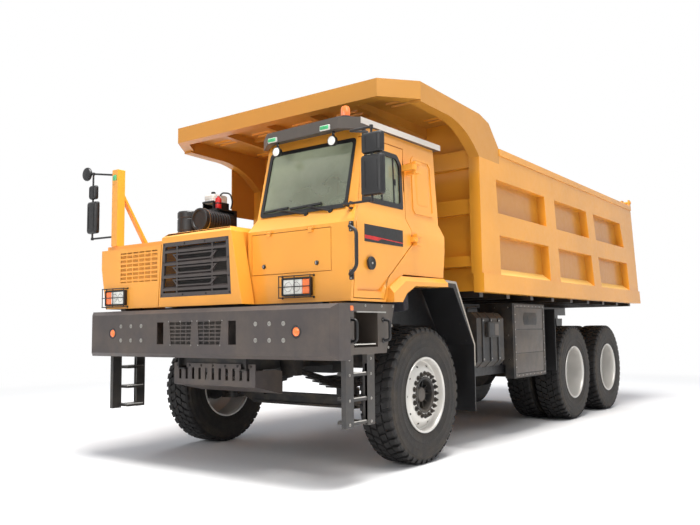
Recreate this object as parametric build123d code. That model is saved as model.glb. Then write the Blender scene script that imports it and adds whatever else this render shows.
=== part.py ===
from build123d import *
import math
import os

# Wide-body mining dump truck with three axles and an offset cab.
# Lengths are millimetres. In the build frame X is 0 on the centreline and grows to the truck's left,
# Y is 0 at the front axle and grows rearwards, and Z is 0 on the ground.
# The stored part has its origin on the ground, this far behind the front axle.
ORIGIN_Y = 2800

# Tyres and wheels
LUGS = 12
TREAD_R = 689
CARCASS_R = 662
BULGE_R = 575
BEAD_R = 365
LUG_TAPER = 0.82
LUG_START = 8
TYRE_HALF_W = 190
TREAD_HALF_W = 168
RIM_HALF_W = 165
RIM_WALL = 18
LIP_H = 15
LIP_T = 10
TWIN_PITCH = 436
FRONT_TYRE_X = 1415
OUTER_TYRE_X = 1400
MIDDLE_AXLE_Y = 4330
REAR_AXLE_Y = 5890
HUB_GAP = 0.05

# Frame
RAIL_X = 480
RAIL_W = 90
RAIL_H = 320
RAIL_TOP_Z = 1290
RAIL_T = 12
RAIL_REAR_Y = 6600
PIN_Y = 6550
PIN_Z = 1100
PIN_R = 45
EAR_T = 40

# Bumper
BUMPER_Y = -1652
BUMPER_BACK_Y = -1440
BUMPER_FACE_X = 1661
BUMPER_END_X = 1720
BUMPER_Z0 = 1090
BUMPER_Z1 = 1570
BUMPER_FACE_Z0 = 1129
BUMPER_FACE_Z1 = 1530
BUMPER_BEVEL_Y = -1600
BUMPER_T = 12

# Cab, on the truck's left
CAB_IN_X = 420
CAB_SILL_X = 1655
CAB_SIDE_X = 1700
CAB_UPPER_X = 1630
CAB_ROOF_X = 1605
CAB_WALL = 45
CAB_FRONT_Y = -1345
CAB_BACK_Y = 255
CAB_MOUNT_Y = 150
CAB_FLOOR_Z = 1600
CAB_ARCH_Z = 1870
CAB_WAIST_Z = 2150
CAB_SHOULDER_Z = 2300
CAB_SILL_Z = 2430
CAB_ROOF_Z = 3230
SCREEN_Y0 = -1215
SCREEN_Z0 = 2460
SCREEN_Y1 = -1050
SCREEN_Z1 = 3120
SCREEN_X0 = 465
SCREEN_X1 = 1520
GLASS_T = 8
DOOR_GAP = 8
DOOR_HINGE_X = 1738
DOOR_HINGE_Y = -372
HINGE_R = 14

# Hood and right deck
HOOD_Y = -1530
HOOD_X0 = -650
HOOD_X1 = 366
HOOD_FLARE_X0 = -694
HOOD_FLARE_X1 = 518
HOOD_STEP_Y = -1358
HOOD_TOP_Z = 2365
HOOD_BACK_Y = -180
HOOD_T = 6
HOOD_BEVEL = 50
DECK_X = -1680
DECK_Z = 2300
DECK_BACK_Y = 255
SKIRT_Z = 1600

# Step modules and ladders, both sides
STEP_X = 1650
STEP_IN_X = 1340
STEP_Z0 = 1130
STEP_Z1 = 1580
STEP_Y0 = -1408
STEP_Y1 = -640
LADDER_Z0 = 505

# Dump body
BODY_X = 1765
SHEET_X = 1655
SHEET_T = 12
BAND_X = 1785
BODY_FRONT_Y = 990
BULKHEAD_Y = 1110
BULKHEAD_T = 12
BODY_TOP_Z = 3475
BODY_TOP_REAR_Y = 6920
BODY_LOW_Z = 1750
BODY_LOW_REAR_Y = 7240
BAND_TOP_Z = 1965
FLOOR_Z = 1830
FLOOR_T = 16
SILL_TOP_Z = 1700
SILL_Z = 1305
CANOPY_Y = -630
CANOPY_HALF_X = 1475
CANOPY_CORNER_Y = -275
CANOPY_RISE = 350
CANOPY_TOP_Z = BODY_TOP_Z + CANOPY_RISE
CANOPY_DEPTH = 185
CANOPY_LOW_Z = CANOPY_TOP_Z - CANOPY_DEPTH
CANOPY_SEAM_Z = BODY_TOP_Z - 185
CANOPY_SEAM_Y = 1515
BEAM_W = 130
GATE_T = 90
GATE_GAP = 10
GATE_AXIS_Y = 6880
GATE_AXIS_Z = BODY_TOP_Z + 55

# Front hoist. Its upper pin is as far from the body's pivot as its lower pin, so that it leans by half the tip angle.
HOIST_Y = 520
HOIST_Z = 1150
HOIST_TOP_Z = 2650
HOIST_TOP_Y = PIN_Y - math.sqrt((PIN_Y - HOIST_Y) ** 2 + (HOIST_Z - PIN_Z) ** 2 - (HOIST_TOP_Z - PIN_Z) ** 2)
HOIST_LENGTH = math.hypot(HOIST_TOP_Y - HOIST_Y, HOIST_TOP_Z - HOIST_Z)
HOIST_LEAN = math.degrees(math.atan2(HOIST_TOP_Y - HOIST_Y, HOIST_TOP_Z - HOIST_Z))
HOIST_R = (118, 102, 86, 70, 54)
HOIST_WALL = 9
HOIST_GAP = 0.1
HOIST_PIN_R = 30


def block(x0, x1, y0, y1, z0, z1):
    """A box between two corners."""
    centre = ((x0 + x1) / 2, (y0 + y1) / 2, (z0 + z1) / 2)
    return Pos(*centre) * Box(abs(x1 - x0), abs(y1 - y0), abs(z1 - z0))


def polygon(points):
    return Face(Wire.make_polygon([p if isinstance(p, Vector) else Vector(*p) for p in points], close=True))


def side_plate(points, x0, x1):
    """A side-view outline of (y, z) points, thick from x0 to x1."""
    return Solid.extrude(polygon([(x0, y, z) for y, z in points]), Vector(x1 - x0, 0, 0))


def front_plate(points, y0, y1):
    """A front-view outline of (x, z) points, thick from y0 to y1."""
    return Solid.extrude(polygon([(x, y0, z) for x, z in points]), Vector(0, y1 - y0, 0))


def deck_plate(points, z0, z1):
    """A plan outline of (x, y) points, thick from z0 to z1."""
    return Solid.extrude(polygon([(x, y, z0) for x, y in points]), Vector(0, 0, z1 - z0))


def bar(start, end, radius):
    """A round bar between two points."""
    a = Vector(*start)
    b = Vector(*end)
    return Solid.make_cylinder(radius, (b - a).length, Plane(origin=a, z_dir=b - a))


def closed_solid(faces):
    """A solid from its faces, whichever way they were wound."""
    solid = Solid(Shell(faces))
    return solid if solid.volume > 0 else Solid(Shell([-f for f in faces]))


TUBE_SIDES = 8


def tube_run(points, radius):
    """A bent tube of flat sides, mitred at each bend, as one solid."""
    path = [Vector(*p) for p in points]
    ways = [(b - a).normalized() for a, b in zip(path, path[1:])]
    side = ways[0].cross(Vector(0.3, 0.5, 0.8)).normalized()
    other = ways[0].cross(side)
    ring = []
    for k in range(TUBE_SIDES):
        angle = 2 * math.pi * k / TUBE_SIDES
        ring.append(path[0] + side * (radius * math.cos(angle)) + other * (radius * math.sin(angle)))
    rings = [ring]
    for i, way in enumerate(ways):
        normal = (way + ways[i + 1]).normalized() if i + 1 < len(ways) else way
        ring = [p + way * ((path[i + 1] - p).dot(normal) / way.dot(normal)) for p in ring]
        rings.append(ring)
    faces = [polygon(rings[0]), polygon(rings[-1])]
    for near, far in zip(rings, rings[1:]):
        for k in range(TUBE_SIDES):
            n = (k + 1) % TUBE_SIDES
            faces.append(polygon([near[k], near[n], far[n], far[k]]))
    return closed_solid(faces)


def drum(start, end, radius, sides=20):
    """A large round vessel or housing as a flat-sided prism, standing on a flat."""
    a = Vector(*start)
    b = Vector(*end)
    plane = Plane(origin=a, z_dir=b - a)
    corners = []
    for k in range(sides):
        angle = 2 * math.pi * (k + 0.5) / sides
        corners.append(plane.from_local_coords(Vector(radius * math.cos(angle), radius * math.sin(angle), 0)))
    return Solid.extrude(polygon(corners), b - a)


def fuse(pieces):
    first, *rest = pieces
    return first.fuse(*rest) if rest else first


def flip(shape):
    """The same piece on the other side of the truck."""
    return mirror(shape, about=Plane.YZ)


def pair(shape):
    return [shape, flip(shape)]


def group(pieces):
    """Separate solids of one node."""
    solids = [s for piece in pieces for s in piece.solids()]
    return solids[0] if len(solids) == 1 else Compound(children=solids)


def faceted_ring(profile, sides):
    """A flat-sided turned solid about the X axis, from a closed profile of (radius, x) points."""
    def corner(radius, x, i):
        angle = 2 * math.pi * (i + 0.5) / sides
        return Vector(x, radius * math.sin(angle), -radius * math.cos(angle))

    faces = []
    for (r0, x0), (r1, x1) in zip(profile, profile[1:] + profile[:1]):
        for i in range(sides):
            j = i + 1
            quad = [corner(r0, x0, i), corner(r0, x0, j), corner(r1, x1, j), corner(r1, x1, i)]
            faces.append(polygon(quad))
    return closed_solid(faces)


# The lugs of the two tread halves alternate, so the tyre stands on the flats of a polygon of twice as many sides.
SECTORS = 2 * LUGS
HALF_SECTOR = math.pi / SECTORS
AXLE_Z = TREAD_R * math.cos(HALF_SECTOR)


def tyre():
    """A block-lug tyre about the X axis, centred on its own middle plane."""
    carcass = faceted_ring([
        (CARCASS_R, -TREAD_HALF_W), (CARCASS_R, TREAD_HALF_W), (BULGE_R, TYRE_HALF_W), (BEAD_R, RIM_HALF_W),
        (BEAD_R, -RIM_HALF_W), (BULGE_R, -TYRE_HALF_W)], SECTORS)
    foot = CARCASS_R * math.sin(HALF_SECTOR)
    crown = foot * LUG_TAPER
    top = -AXLE_Z
    base = -CARCASS_R * math.cos(HALF_SECTOR)
    lugs = []
    for i in range(SECTORS):
        outline = [(-crown, top), (crown, top), (foot, base), (-foot, base)]
        x0, x1 = (LUG_START, TREAD_HALF_W) if i % 2 else (-TREAD_HALF_W, -LUG_START)
        lug = side_plate(outline, x0, x1)
        lugs.append(Rot(360 * i / SECTORS, 0, 0) * lug)
    return fuse([carcass] + lugs)


HUB_R = 150
HUB_RECESS_R = 105
DISC_R = 262


def front_rim():
    """The front wheel for the left side, its face towards +X: barrel, lip and dished disc in one turned section."""
    r0 = BEAD_R - RIM_WALL
    end = RIM_HALF_W + 3
    body = faceted_ring([(BEAD_R, -RIM_HALF_W + 2), (BEAD_R, end), (BEAD_R + LIP_H, end), (BEAD_R + LIP_H, end + LIP_T),
                         (r0, end + LIP_T), (r0, 40), (DISC_R, 95), (HUB_R - 20, 95), (HUB_R - 20, 72), (DISC_R - 12, 72),
                         (r0, 12), (r0, -RIM_HALF_W + 2)], SECTORS)
    hub = drum((-75, 0, 0), (84, 0, 0), HUB_R - 8, SECTORS)
    recess = drum((50, 0, 0), (90, 0, 0), HUB_RECESS_R, SECTORS)
    cap = drum((45, 0, 0), (76, 0, 0), 48, 12)
    bore = Pos(-45, 0, 0) * Rot(0, 90, 0) * Cylinder(SPINDLE_R + HUB_GAP, 120)
    return fuse([body, hub - recess, cap]) - bore


def twin_rim():
    """A twin wheel for the left side, centred on its outer tyre, its face towards +X, in one turned section."""
    r0 = BEAD_R - RIM_WALL
    end = RIM_HALF_W + 3
    lip = BEAD_R + LIP_H
    far = -TWIN_PITCH - end
    body = faceted_ring([(BEAD_R, end), (lip, end), (lip, end + LIP_T), (r0, end + LIP_T), (r0, -160), (250, -185),
                         (HUB_R - 20, -185), (HUB_R - 20, -205), (240, -205), (r0, -276), (r0, far - LIP_T),
                         (lip, far - LIP_T), (lip, far), (BEAD_R, far)], SECTORS)
    hub = drum((-295, 0, 0), (-60, 0, 0), HUB_R - 8, SECTORS)
    cap = drum((-65, 0, 0), (-35, 0, 0), HUB_RECESS_R, 12)
    bore = Pos(-240, 0, 0) * Rot(0, 90, 0) * Cylinder(TUBE_END_R + HUB_GAP, 160)
    return fuse([body, hub, cap]) - bore


# Axles and steering
SPINDLE_R = 55
SPINDLE_END_X = 1425
KINGPIN_X = 1150
KINGPIN_R = 30
BOSS_R = 62
BEAM_END_Z0 = AXLE_Z - 95
BEAM_END_Z1 = AXLE_Z + 95
TUBE_END_R = 80
TUBE_END_X = 1240
ARM_Y = 300
ARM_X = KINGPIN_X
TIE_Z = 510
TIE_BALL_R = 18
SPRING_X = 610
SPRING_W = 100


def front_axle():
    """The dropped front beam with a boss at each kingpin."""
    drop = 110
    z0 = AXLE_Z - drop - 70
    z1 = AXLE_Z - drop + 60
    half = [(0, z0), (760, z0), (1010, BEAM_END_Z0 + 20), (1150, BEAM_END_Z0 + 20),
            (1150, BEAM_END_Z1 - 20), (1000, BEAM_END_Z1 - 20), (740, z1), (0, z1)]
    web = front_plate(half, -35, 35)
    lower = front_plate([(0, z0), (745, z0), (745, z0 + 25), (0, z0 + 25)], -70, 70)
    upper = front_plate([(0, z1 - 25), (745, z1 - 25), (745, z1), (0, z1)], -70, 70)
    pad = block(SPRING_X - 75, SPRING_X + 75, -110, 110, z1 - 25, SPRING_SEAT_Z)
    boss = Pos(KINGPIN_X, 0, AXLE_Z) * Cylinder(BOSS_R, BEAM_END_Z1 - BEAM_END_Z0)
    hole = Pos(KINGPIN_X, 0, AXLE_Z) * Cylinder(KINGPIN_R + HUB_GAP, 400)
    side = fuse([web, lower, upper, pad, boss]) - hole
    return fuse(pair(side))


SPRING_SEAT_Z = AXLE_Z + 36
LEAF_T = 18
LEAVES = 6


def leaf_pack(half_length, rise, step):
    """A stack of leaves, longest on top, each a shallow arch of three flats."""
    leaves = []
    for i in range(LEAVES):
        h = half_length - i * step
        drop = rise * (h / half_length) ** 2
        z = SPRING_SEAT_Z + (LEAVES - 1 - i) * LEAF_T
        top = [(-h, z + drop), (-h / 2, z + drop / 4), (h / 2, z + drop / 4), (h, z + drop)]
        outline = top + [(y, v + LEAF_T) for y, v in reversed(top)]
        leaves.append(side_plate(outline, SPRING_X - SPRING_W / 2, SPRING_X + SPRING_W / 2))
    clamp = block(SPRING_X - 70, SPRING_X + 70, -80, 80, SPRING_SEAT_Z, SPRING_SEAT_Z + LEAVES * LEAF_T + 30)
    return fuse(leaves + [clamp])


def front_springs():
    """Front leaf packs with their hangers on the rails."""
    pack = Pos(0, 0, 0) * leaf_pack(880, 150, 110)
    eye_z = SPRING_SEAT_Z + (LEAVES - 1) * LEAF_T + 150
    hangers = []
    for sign in (-1, 1):
        y = sign * 890
        hangers.append(side_plate([(y - 90, 1180), (y + 90, 1180), (y + 45, eye_z - 60), (y - 45, eye_z - 60)],
                                  RAIL_X, SPRING_X + 60))
    return fuse([pack] + hangers)


def rear_suspension():
    """Walking-beam leaf packs on a cross tube between the rear axles."""
    mid = (MIDDLE_AXLE_Y + REAR_AXLE_Y) / 2
    half = (REAR_AXLE_Y - MIDDLE_AXLE_Y) / 2
    z = AXLE_Z + TUBE_R + 6
    leaves = []
    for i in range(LEAVES):
        h = half + 90 - i * 120
        low = z + 60 + i * LEAF_T * 1.4
        outline = [(mid - h, low - 60), (mid - h / 2, low), (mid + h / 2, low), (mid + h, low - 60),
                   (mid + h, low - 35), (mid + h / 2, low + 25.2), (mid - h / 2, low + 25.2), (mid - h, low - 35)]
        leaves.append(side_plate(outline, SPRING_X - SPRING_W / 2, SPRING_X + SPRING_W / 2))
    top = z + 60 + LEAVES * LEAF_T * 1.4
    clamp = block(SPRING_X - 75, SPRING_X + 75, mid - 110, mid + 110, z + 55, top + 30)
    bracket = side_plate([(mid - 260, 1230), (mid + 260, 1230), (mid + 130, 900), (mid + 110, 640),
                          (mid - 110, 640), (mid - 130, 900)], RAIL_X, SPRING_X - SPRING_W / 2)
    trunnion = drum((SPRING_X - 130, mid, 720), (SPRING_X + 90, mid, 720), 90)
    return fuse([clamp, bracket, trunnion] + leaves)


TUBE_R = 105


def drive_axle(y):
    """A drive axle: tube, round centre housing and hub stubs."""
    tube = drum((-770, y, AXLE_Z), (770, y, AXLE_Z), TUBE_R)
    pads = pair(block(SPRING_X - 65, SPRING_X + 65, y - 60, y + 60, AXLE_Z, AXLE_Z + TUBE_R + 9))
    stub = Pos(0, y, AXLE_Z) * Rot(0, 90, 0) * Cylinder(TUBE_END_R, 2 * TUBE_END_X)
    bowl = drum((0, y - 120, AXLE_Z), (0, y + 120, AXLE_Z), 265)
    nose = drum((0, y - 310, AXLE_Z + 40), (0, y - 110, AXLE_Z + 40), 130)
    tail = drum((0, y + 110, AXLE_Z), (0, y + 230, AXLE_Z), 200)
    return fuse([tube, stub, bowl, nose, tail] + pads)


def rear_axles():
    """Both drive axles with the shafts that turn them."""
    z = AXLE_Z + 40
    front = drum((0, 424, 960), (0, MIDDLE_AXLE_Y - 300, z), 55, 12)
    link = drum((0, MIDDLE_AXLE_Y + 220, z - 40), (0, REAR_AXLE_Y - 300, z), 50, 12)
    return fuse([drive_axle(MIDDLE_AXLE_Y), drive_axle(REAR_AXLE_Y), front, link])


def knuckle():
    """The left steering knuckle: two ears on the kingpin, a spindle and a steering arm."""
    gap = 3
    ear_t = 45
    ears = [Pos(KINGPIN_X, 0, z) * Cylinder(BOSS_R, ear_t)
            for z in (BEAM_END_Z0 - gap - ear_t / 2, BEAM_END_Z1 + gap + ear_t / 2)]
    z0 = BEAM_END_Z0 - gap - ear_t
    z1 = BEAM_END_Z1 + gap + ear_t
    back = block(KINGPIN_X + BOSS_R + 6, KINGPIN_X + BOSS_R + 50, -80, 80, z0, z1)
    links = [block(KINGPIN_X, KINGPIN_X + BOSS_R + 6, -55, 55, z0, z0 + ear_t),
             block(KINGPIN_X, KINGPIN_X + BOSS_R + 6, -55, 55, z1 - ear_t, z1)]
    pin = Pos(KINGPIN_X, 0, AXLE_Z) * Cylinder(KINGPIN_R, z1 - z0)
    spindle = bar((KINGPIN_X + BOSS_R + 50, 0, AXLE_Z), (SPINDLE_END_X, 0, AXLE_Z), SPINDLE_R)
    arm_z = z0 + 20
    arm = deck_plate([(KINGPIN_X - 40, 20), (KINGPIN_X + 50, 20), (ARM_X + 40, ARM_Y + 35),
                      (ARM_X - 40, ARM_Y + 35)], z0, z0 + 40)
    ball = bar((ARM_X, ARM_Y, TIE_Z - 24), (ARM_X, ARM_Y, arm_z), TIE_BALL_R)
    return fuse(ears + [back, pin, spindle, arm, ball] + links)


def tie_rod():
    """The rod that joins the two steering arms, with an eye round each ball stud."""
    rod = bar((-ARM_X + 30, ARM_Y, TIE_Z), (ARM_X - 30, ARM_Y, TIE_Z), 24)
    eye = Pos(ARM_X, ARM_Y, TIE_Z) * (Cylinder(40, 44) - Cylinder(TIE_BALL_R + HUB_GAP, 60))
    return fuse([rod] + pair(eye))


def frame_rails():
    """Two channel rails with crossmembers, the body pivot pin and the hoist's lower pin."""
    z0 = RAIL_TOP_Z - RAIL_H
    nose_y = BUMPER_BACK_Y
    rail = block(RAIL_X - RAIL_W, RAIL_X, nose_y, RAIL_REAR_Y, z0, RAIL_TOP_Z)
    channel = block(RAIL_X - RAIL_W - 1, RAIL_X - RAIL_T, nose_y - 1, RAIL_REAR_Y + 1,
                    z0 + RAIL_T, RAIL_TOP_Z - RAIL_T)
    rail = rail - channel
    cross = []
    # columns: y, depth along Y, bottom z, top z
    for y, depth, low, high in ((-1330, 120, z0 + 30, 1250), (1300, 120, z0 + 40, 1250),
                                (2500, 120, z0 + 40, 1250), (3600, 120, z0 + 40, 1250),
                                (5110, 200, z0 + 20, 1260)):
        inner = RAIL_X - RAIL_T
        beam = block(-inner, inner, y - depth / 2, y + depth / 2, low, high)
        hollow = block(-inner, inner, y - depth / 2 + 10, y + depth / 2 + 1, low + 10, high - 10)
        cross.append(beam - hollow)
    beam_y = HOIST_Y + 172
    hoist_beam = block(-(RAIL_X - RAIL_T), RAIL_X - RAIL_T, beam_y, beam_y + 45, z0 + 60, HOIST_Z - 32)
    cheeks = [side_plate([(HOIST_Y - 60, HOIST_Z - 60), (beam_y, z0 + 60), (beam_y, HOIST_Z - 32),
                          (HOIST_Y + 40, HOIST_Z + 55), (HOIST_Y - 45, HOIST_Z + 55)], s * 130, s * 160)
              for s in (-1, 1)]
    hoist_pin = bar((-175, HOIST_Y, HOIST_Z), (175, HOIST_Y, HOIST_Z), HOIST_PIN_R)
    pivot = bar((-RAIL_X - EAR_T - 40, PIN_Y, PIN_Z), (RAIL_X + EAR_T + 40, PIN_Y, PIN_Z), PIN_R)
    bosses = [block(s * (RAIL_X - RAIL_W), s * (RAIL_X - RAIL_T), PIN_Y - 90, RAIL_REAR_Y, PIN_Z - 70, PIN_Z + 70)
              for s in (-1, 1)]
    return fuse(pair(rail) + cross + [hoist_beam, hoist_pin, pivot] + cheeks + bosses)


ENGINE_Y0 = -1120
ENGINE_Y1 = 30


def engine():
    """One plain block for the engine and gearbox, with the radiator ahead of it."""
    outline = [(ENGINE_Y0, 960), (ENGINE_Y0, 1760), (ENGINE_Y1, 1760), (ENGINE_Y1, 1240), (420, 1200),
               (420, 860), (130, 860), (130, 960)]
    body = side_plate(outline, -300, 300)
    feet = [block(300, RAIL_X - RAIL_T, y - 50, y + 50, 1100, 1180) for y in (-800, -100)]
    core = block(-560, 290, -1400, -1290, SUBFRAME_Z, 2230)
    return group([fuse([body] + [f for foot in feet for f in pair(foot)]), core])


SUBFRAME_Z = 1600


def front_subframe():
    """Two cross beams on posts that carry the cab, the hood and the right deck."""
    z = SUBFRAME_Z
    front = block(-STEP_IN_X, STEP_IN_X, -1340, -1240, z - 100, z)
    bracket = block(-1330, -1250, HOOD_Y + 8, -1300, BUMPER_Z1 + 6, z + 100)
    rear = block(DECK_X + 8, 1550, CAB_MOUNT_Y, CAB_MOUNT_Y + 100, CAB_ARCH_Z - 100, CAB_ARCH_Z)
    posts = pair(block(RAIL_X - 80, RAIL_X - 10, -1340, -1240, RAIL_TOP_Z, z - 100))
    posts += pair(block(RAIL_X - 80, RAIL_X - 10, CAB_MOUNT_Y, CAB_MOUNT_Y + 100, RAIL_TOP_Z, CAB_ARCH_Z - 100))
    return group([fuse([front, bracket] + posts[:2]), fuse([rear] + posts[2:])])


def bumper_outline(shrink, back):
    """The bumper's section in side view, drawn in by a wall."""
    return [(back, BUMPER_Z1 - shrink), (BUMPER_BEVEL_Y + shrink / 2, BUMPER_Z1 - shrink),
            (BUMPER_Y + shrink, BUMPER_FACE_Z1 - shrink / 2), (BUMPER_Y + shrink, BUMPER_FACE_Z0 + shrink / 2),
            (BUMPER_BEVEL_Y + shrink / 2, BUMPER_Z0 + shrink), (back, BUMPER_Z0 + shrink)]


def bumper_plan(shrink, back):
    """The bumper's plan with its chamfered ends, drawn in by a wall."""
    face = BUMPER_FACE_X - shrink / 2
    end = BUMPER_END_X - shrink
    return [(-face, BUMPER_Y + shrink - 1), (face, BUMPER_Y + shrink - 1), (end, BUMPER_BEVEL_Y + shrink / 2),
            (end, back), (-end, back), (-end, BUMPER_BEVEL_Y + shrink / 2)]


BUMPER_WINDOW = [(45, 1440), (371, 1440), (345, 1222), (60, 1222)]
BUMPER_SLOT = (460, 562, 1222, 1442)
BUMPER_LAMP_X = 1291
BUMPER_LAMP_Z = 1335
BUMPER_LAMP_R = 55


def bumper():
    """The pressed bumper shell with two barred windows, two slots and two lamp holes."""
    outer = side_plate(bumper_outline(0, BUMPER_BACK_Y), -BUMPER_END_X, BUMPER_END_X)
    outer = outer & deck_plate(bumper_plan(1, BUMPER_BACK_Y), BUMPER_Z0, BUMPER_Z1)
    inner = side_plate(bumper_outline(BUMPER_T, BUMPER_BACK_Y + 5), -BUMPER_END_X, BUMPER_END_X)
    inner = inner & deck_plate(bumper_plan(BUMPER_T + 1, BUMPER_BACK_Y + 5), BUMPER_Z0, BUMPER_Z1)
    back = block(-600, 600, BUMPER_BACK_Y - BUMPER_T, BUMPER_BACK_Y, BUMPER_Z0 + 5, BUMPER_Z1 - 5)
    shell = fuse([outer - inner, back])
    y0, y1 = BUMPER_Y - 5, BUMPER_Y + BUMPER_T + 5
    window = front_plate(BUMPER_WINDOW, y0, y1)
    x0, x1, z0, z1 = BUMPER_SLOT
    slot = block(x0, x1, y0, y1, z0, z1)
    lamp = Pos(BUMPER_LAMP_X, BUMPER_Y, BUMPER_LAMP_Z) * Rot(90, 0, 0) * Cylinder(BUMPER_LAMP_R, 60)
    shell = shell - pair(window) - pair(slot) - pair(lamp)
    bars = []
    for i in range(1, 6):
        z = 1222 + i * 36.5
        bars += pair(block(30, 385, BUMPER_Y + 3, BUMPER_Y + BUMPER_T, z - 6, z + 6))
    for x in (125, 205, 285):
        bars += pair(block(x - 6, x + 6, BUMPER_Y + 3, BUMPER_Y + BUMPER_T, 1215, 1447))
    frame = pair(front_plate([(25, 1455), (390, 1455), (362, 1208), (42, 1208)], BUMPER_Y + 2, BUMPER_Y + BUMPER_T)
                 - window)
    bars = [(b & front_plate([(30, 1450), (386, 1450), (358, 1212), (46, 1212)], y0, y1))
            if b.bounding_box().center().X > 0 else
            (b & front_plate([(-30, 1450), (-386, 1450), (-358, 1212), (-46, 1212)], y0, y1)) for b in bars]
    return fuse([shell] + bars + frame)


SKID_X = 575
SKID_Y = -1410
SKID_Z0 = 815
SKID_Z1 = 1030
SKID_SLOTS = 11


def skid_plate():
    """The slotted plate under the bumper with its sloping tray and side cheeks."""
    face = block(-SKID_X, SKID_X, SKID_Y, SKID_Y + 10, SKID_Z0, SKID_Z1)
    pitch = (2 * SKID_X - 90) / SKID_SLOTS
    for i in range(SKID_SLOTS):
        x = -SKID_X + 45 + (i + 0.5) * pitch
        face = face - block(x - 18, x + 18, SKID_Y - 5, SKID_Y + 15, SKID_Z0 + 55, SKID_Z1 - 45)
    for s in (-1, 1):
        face = face - block(s * (RAIL_X - RAIL_W - 5), s * (RAIL_X + 5), SKID_Y - 5, SKID_Y + 15,
                            RAIL_TOP_Z - RAIL_H - 4, SKID_Z1 + 1)
    tray = side_plate([(SKID_Y, SKID_Z0), (SKID_Y + 380, 730), (SKID_Y + 380, 740), (SKID_Y, SKID_Z0 + 10)],
                      -SKID_X, SKID_X)
    cheek = side_plate([(SKID_Y, SKID_Z0), (SKID_Y + 380, 730), (SKID_Y + 380, 950), (SKID_Y + 300, 968),
                        (SKID_Y, 968)], SKID_X - 10, SKID_X)
    hanger = block(RAIL_X - 40, RAIL_X - 20, SKID_Y + 5, SKID_Y + 180, SKID_Z0 + 5, RAIL_TOP_Z - RAIL_H)
    return fuse([face, tray] + pair(cheek) + pair(hanger))


def hood_half(left_x, y0, y1, wall_y):
    """One length of the hood: its section drawn in by the sheet's thickness, closed in front up to wall_y."""
    z0, z1, bevel, t = SUBFRAME_Z, HOOD_TOP_Z, HOOD_BEVEL, HOOD_T
    outer = [(HOOD_FLARE_X0, z0), (HOOD_X0, z1 - bevel), (HOOD_X0 + bevel, z1), (HOOD_X1 - bevel, z1),
             (HOOD_X1, z1 - bevel), (left_x, z0)]
    inner = [(HOOD_FLARE_X0 + t, z0 - 1), (HOOD_X0 + t, z1 - bevel - 2), (HOOD_X0 + bevel + 2, z1 - t),
             (HOOD_X1 - bevel - 2, z1 - t), (HOOD_X1 - t, z1 - bevel - 2), (left_x - t, z0 - 1)]
    return front_plate(outer, y0, y1) - front_plate(inner, wall_y, y1 + 1)


def hood():
    """The hood shell, wider ahead of the cab, with a front frame round the grille."""
    nose = hood_half(HOOD_FLARE_X1, HOOD_Y, HOOD_STEP_Y, HOOD_Y + 30)
    rear = hood_half(CAB_IN_X - 15, HOOD_STEP_Y, HOOD_BACK_Y, HOOD_STEP_Y)
    step = front_plate([(CAB_IN_X - 30, SUBFRAME_Z), (HOOD_X1 - 10, HOOD_TOP_Z - HOOD_BEVEL - 60),
                        (HOOD_FLARE_X1 - 2, SUBFRAME_Z)], HOOD_STEP_Y - HOOD_T, HOOD_STEP_Y)
    brow = side_plate([(HOOD_Y - 1, HOOD_TOP_Z - 45), (HOOD_Y - 1, HOOD_TOP_Z + 1), (HOOD_Y + 50, HOOD_TOP_Z + 1)],
                      HOOD_X0 - 1, HOOD_X1 + 1)
    opening = front_plate(GRILLE_OUTLINE, HOOD_Y - 5, HOOD_Y + 40)
    return fuse([nose, rear, step]) - brow - opening


GRILLE_OUTLINE = [(-668, 1700), (-632, 2262), (335, 2262), (372, 1700)]
GRILLE_WINDOW = [(-625, 1742), (-595, 2220), (297, 2220), (328, 1742)]


def grille():
    """The dark grille: a frame with three tiers of sloping louvres."""
    y0, y1 = HOOD_Y + 2, HOOD_Y + 28
    outer = front_plate(GRILLE_OUTLINE, y0, y1)
    middle_x = -160
    window = front_plate(GRILLE_WINDOW, y0 - 1, y1 + 1)
    reach = front_plate([(x * 1.01, z) for x, z in GRILLE_WINDOW], y0, y1)
    bars = []
    for z in (1775, 1905, 2035, 2165):
        blade = side_plate([(y0, z - 12), (y1, z + 22), (y1, z + 34), (y0, z + 10)], -700, 400)
        bars.append(blade & reach)
    # columns: half width at the top and bottom of each tier's raised chevron
    tiers = [(2068, 2140), (1938, 2010), (1808, 1880)]
    for low, high in tiers:
        chevron = [(middle_x - 330, high), (middle_x + 330, high), (middle_x + 250, low), (middle_x - 250, low)]
        slot = [(middle_x - 295, high - 14), (middle_x + 295, high - 14), (middle_x + 228, low + 14),
                (middle_x - 228, low + 14)]
        bars.append(front_plate(chevron, y0 + 4, y1 - 2) - front_plate(slot, y0, y1))
    stiles = [block(x - 12, x + 12, y0 + 8, y1, 1740, 2220) for x in (-420, 100)]
    return fuse([outer - window] + bars + stiles)


MESH = (-1335, -718, 1880, 2205)


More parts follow.
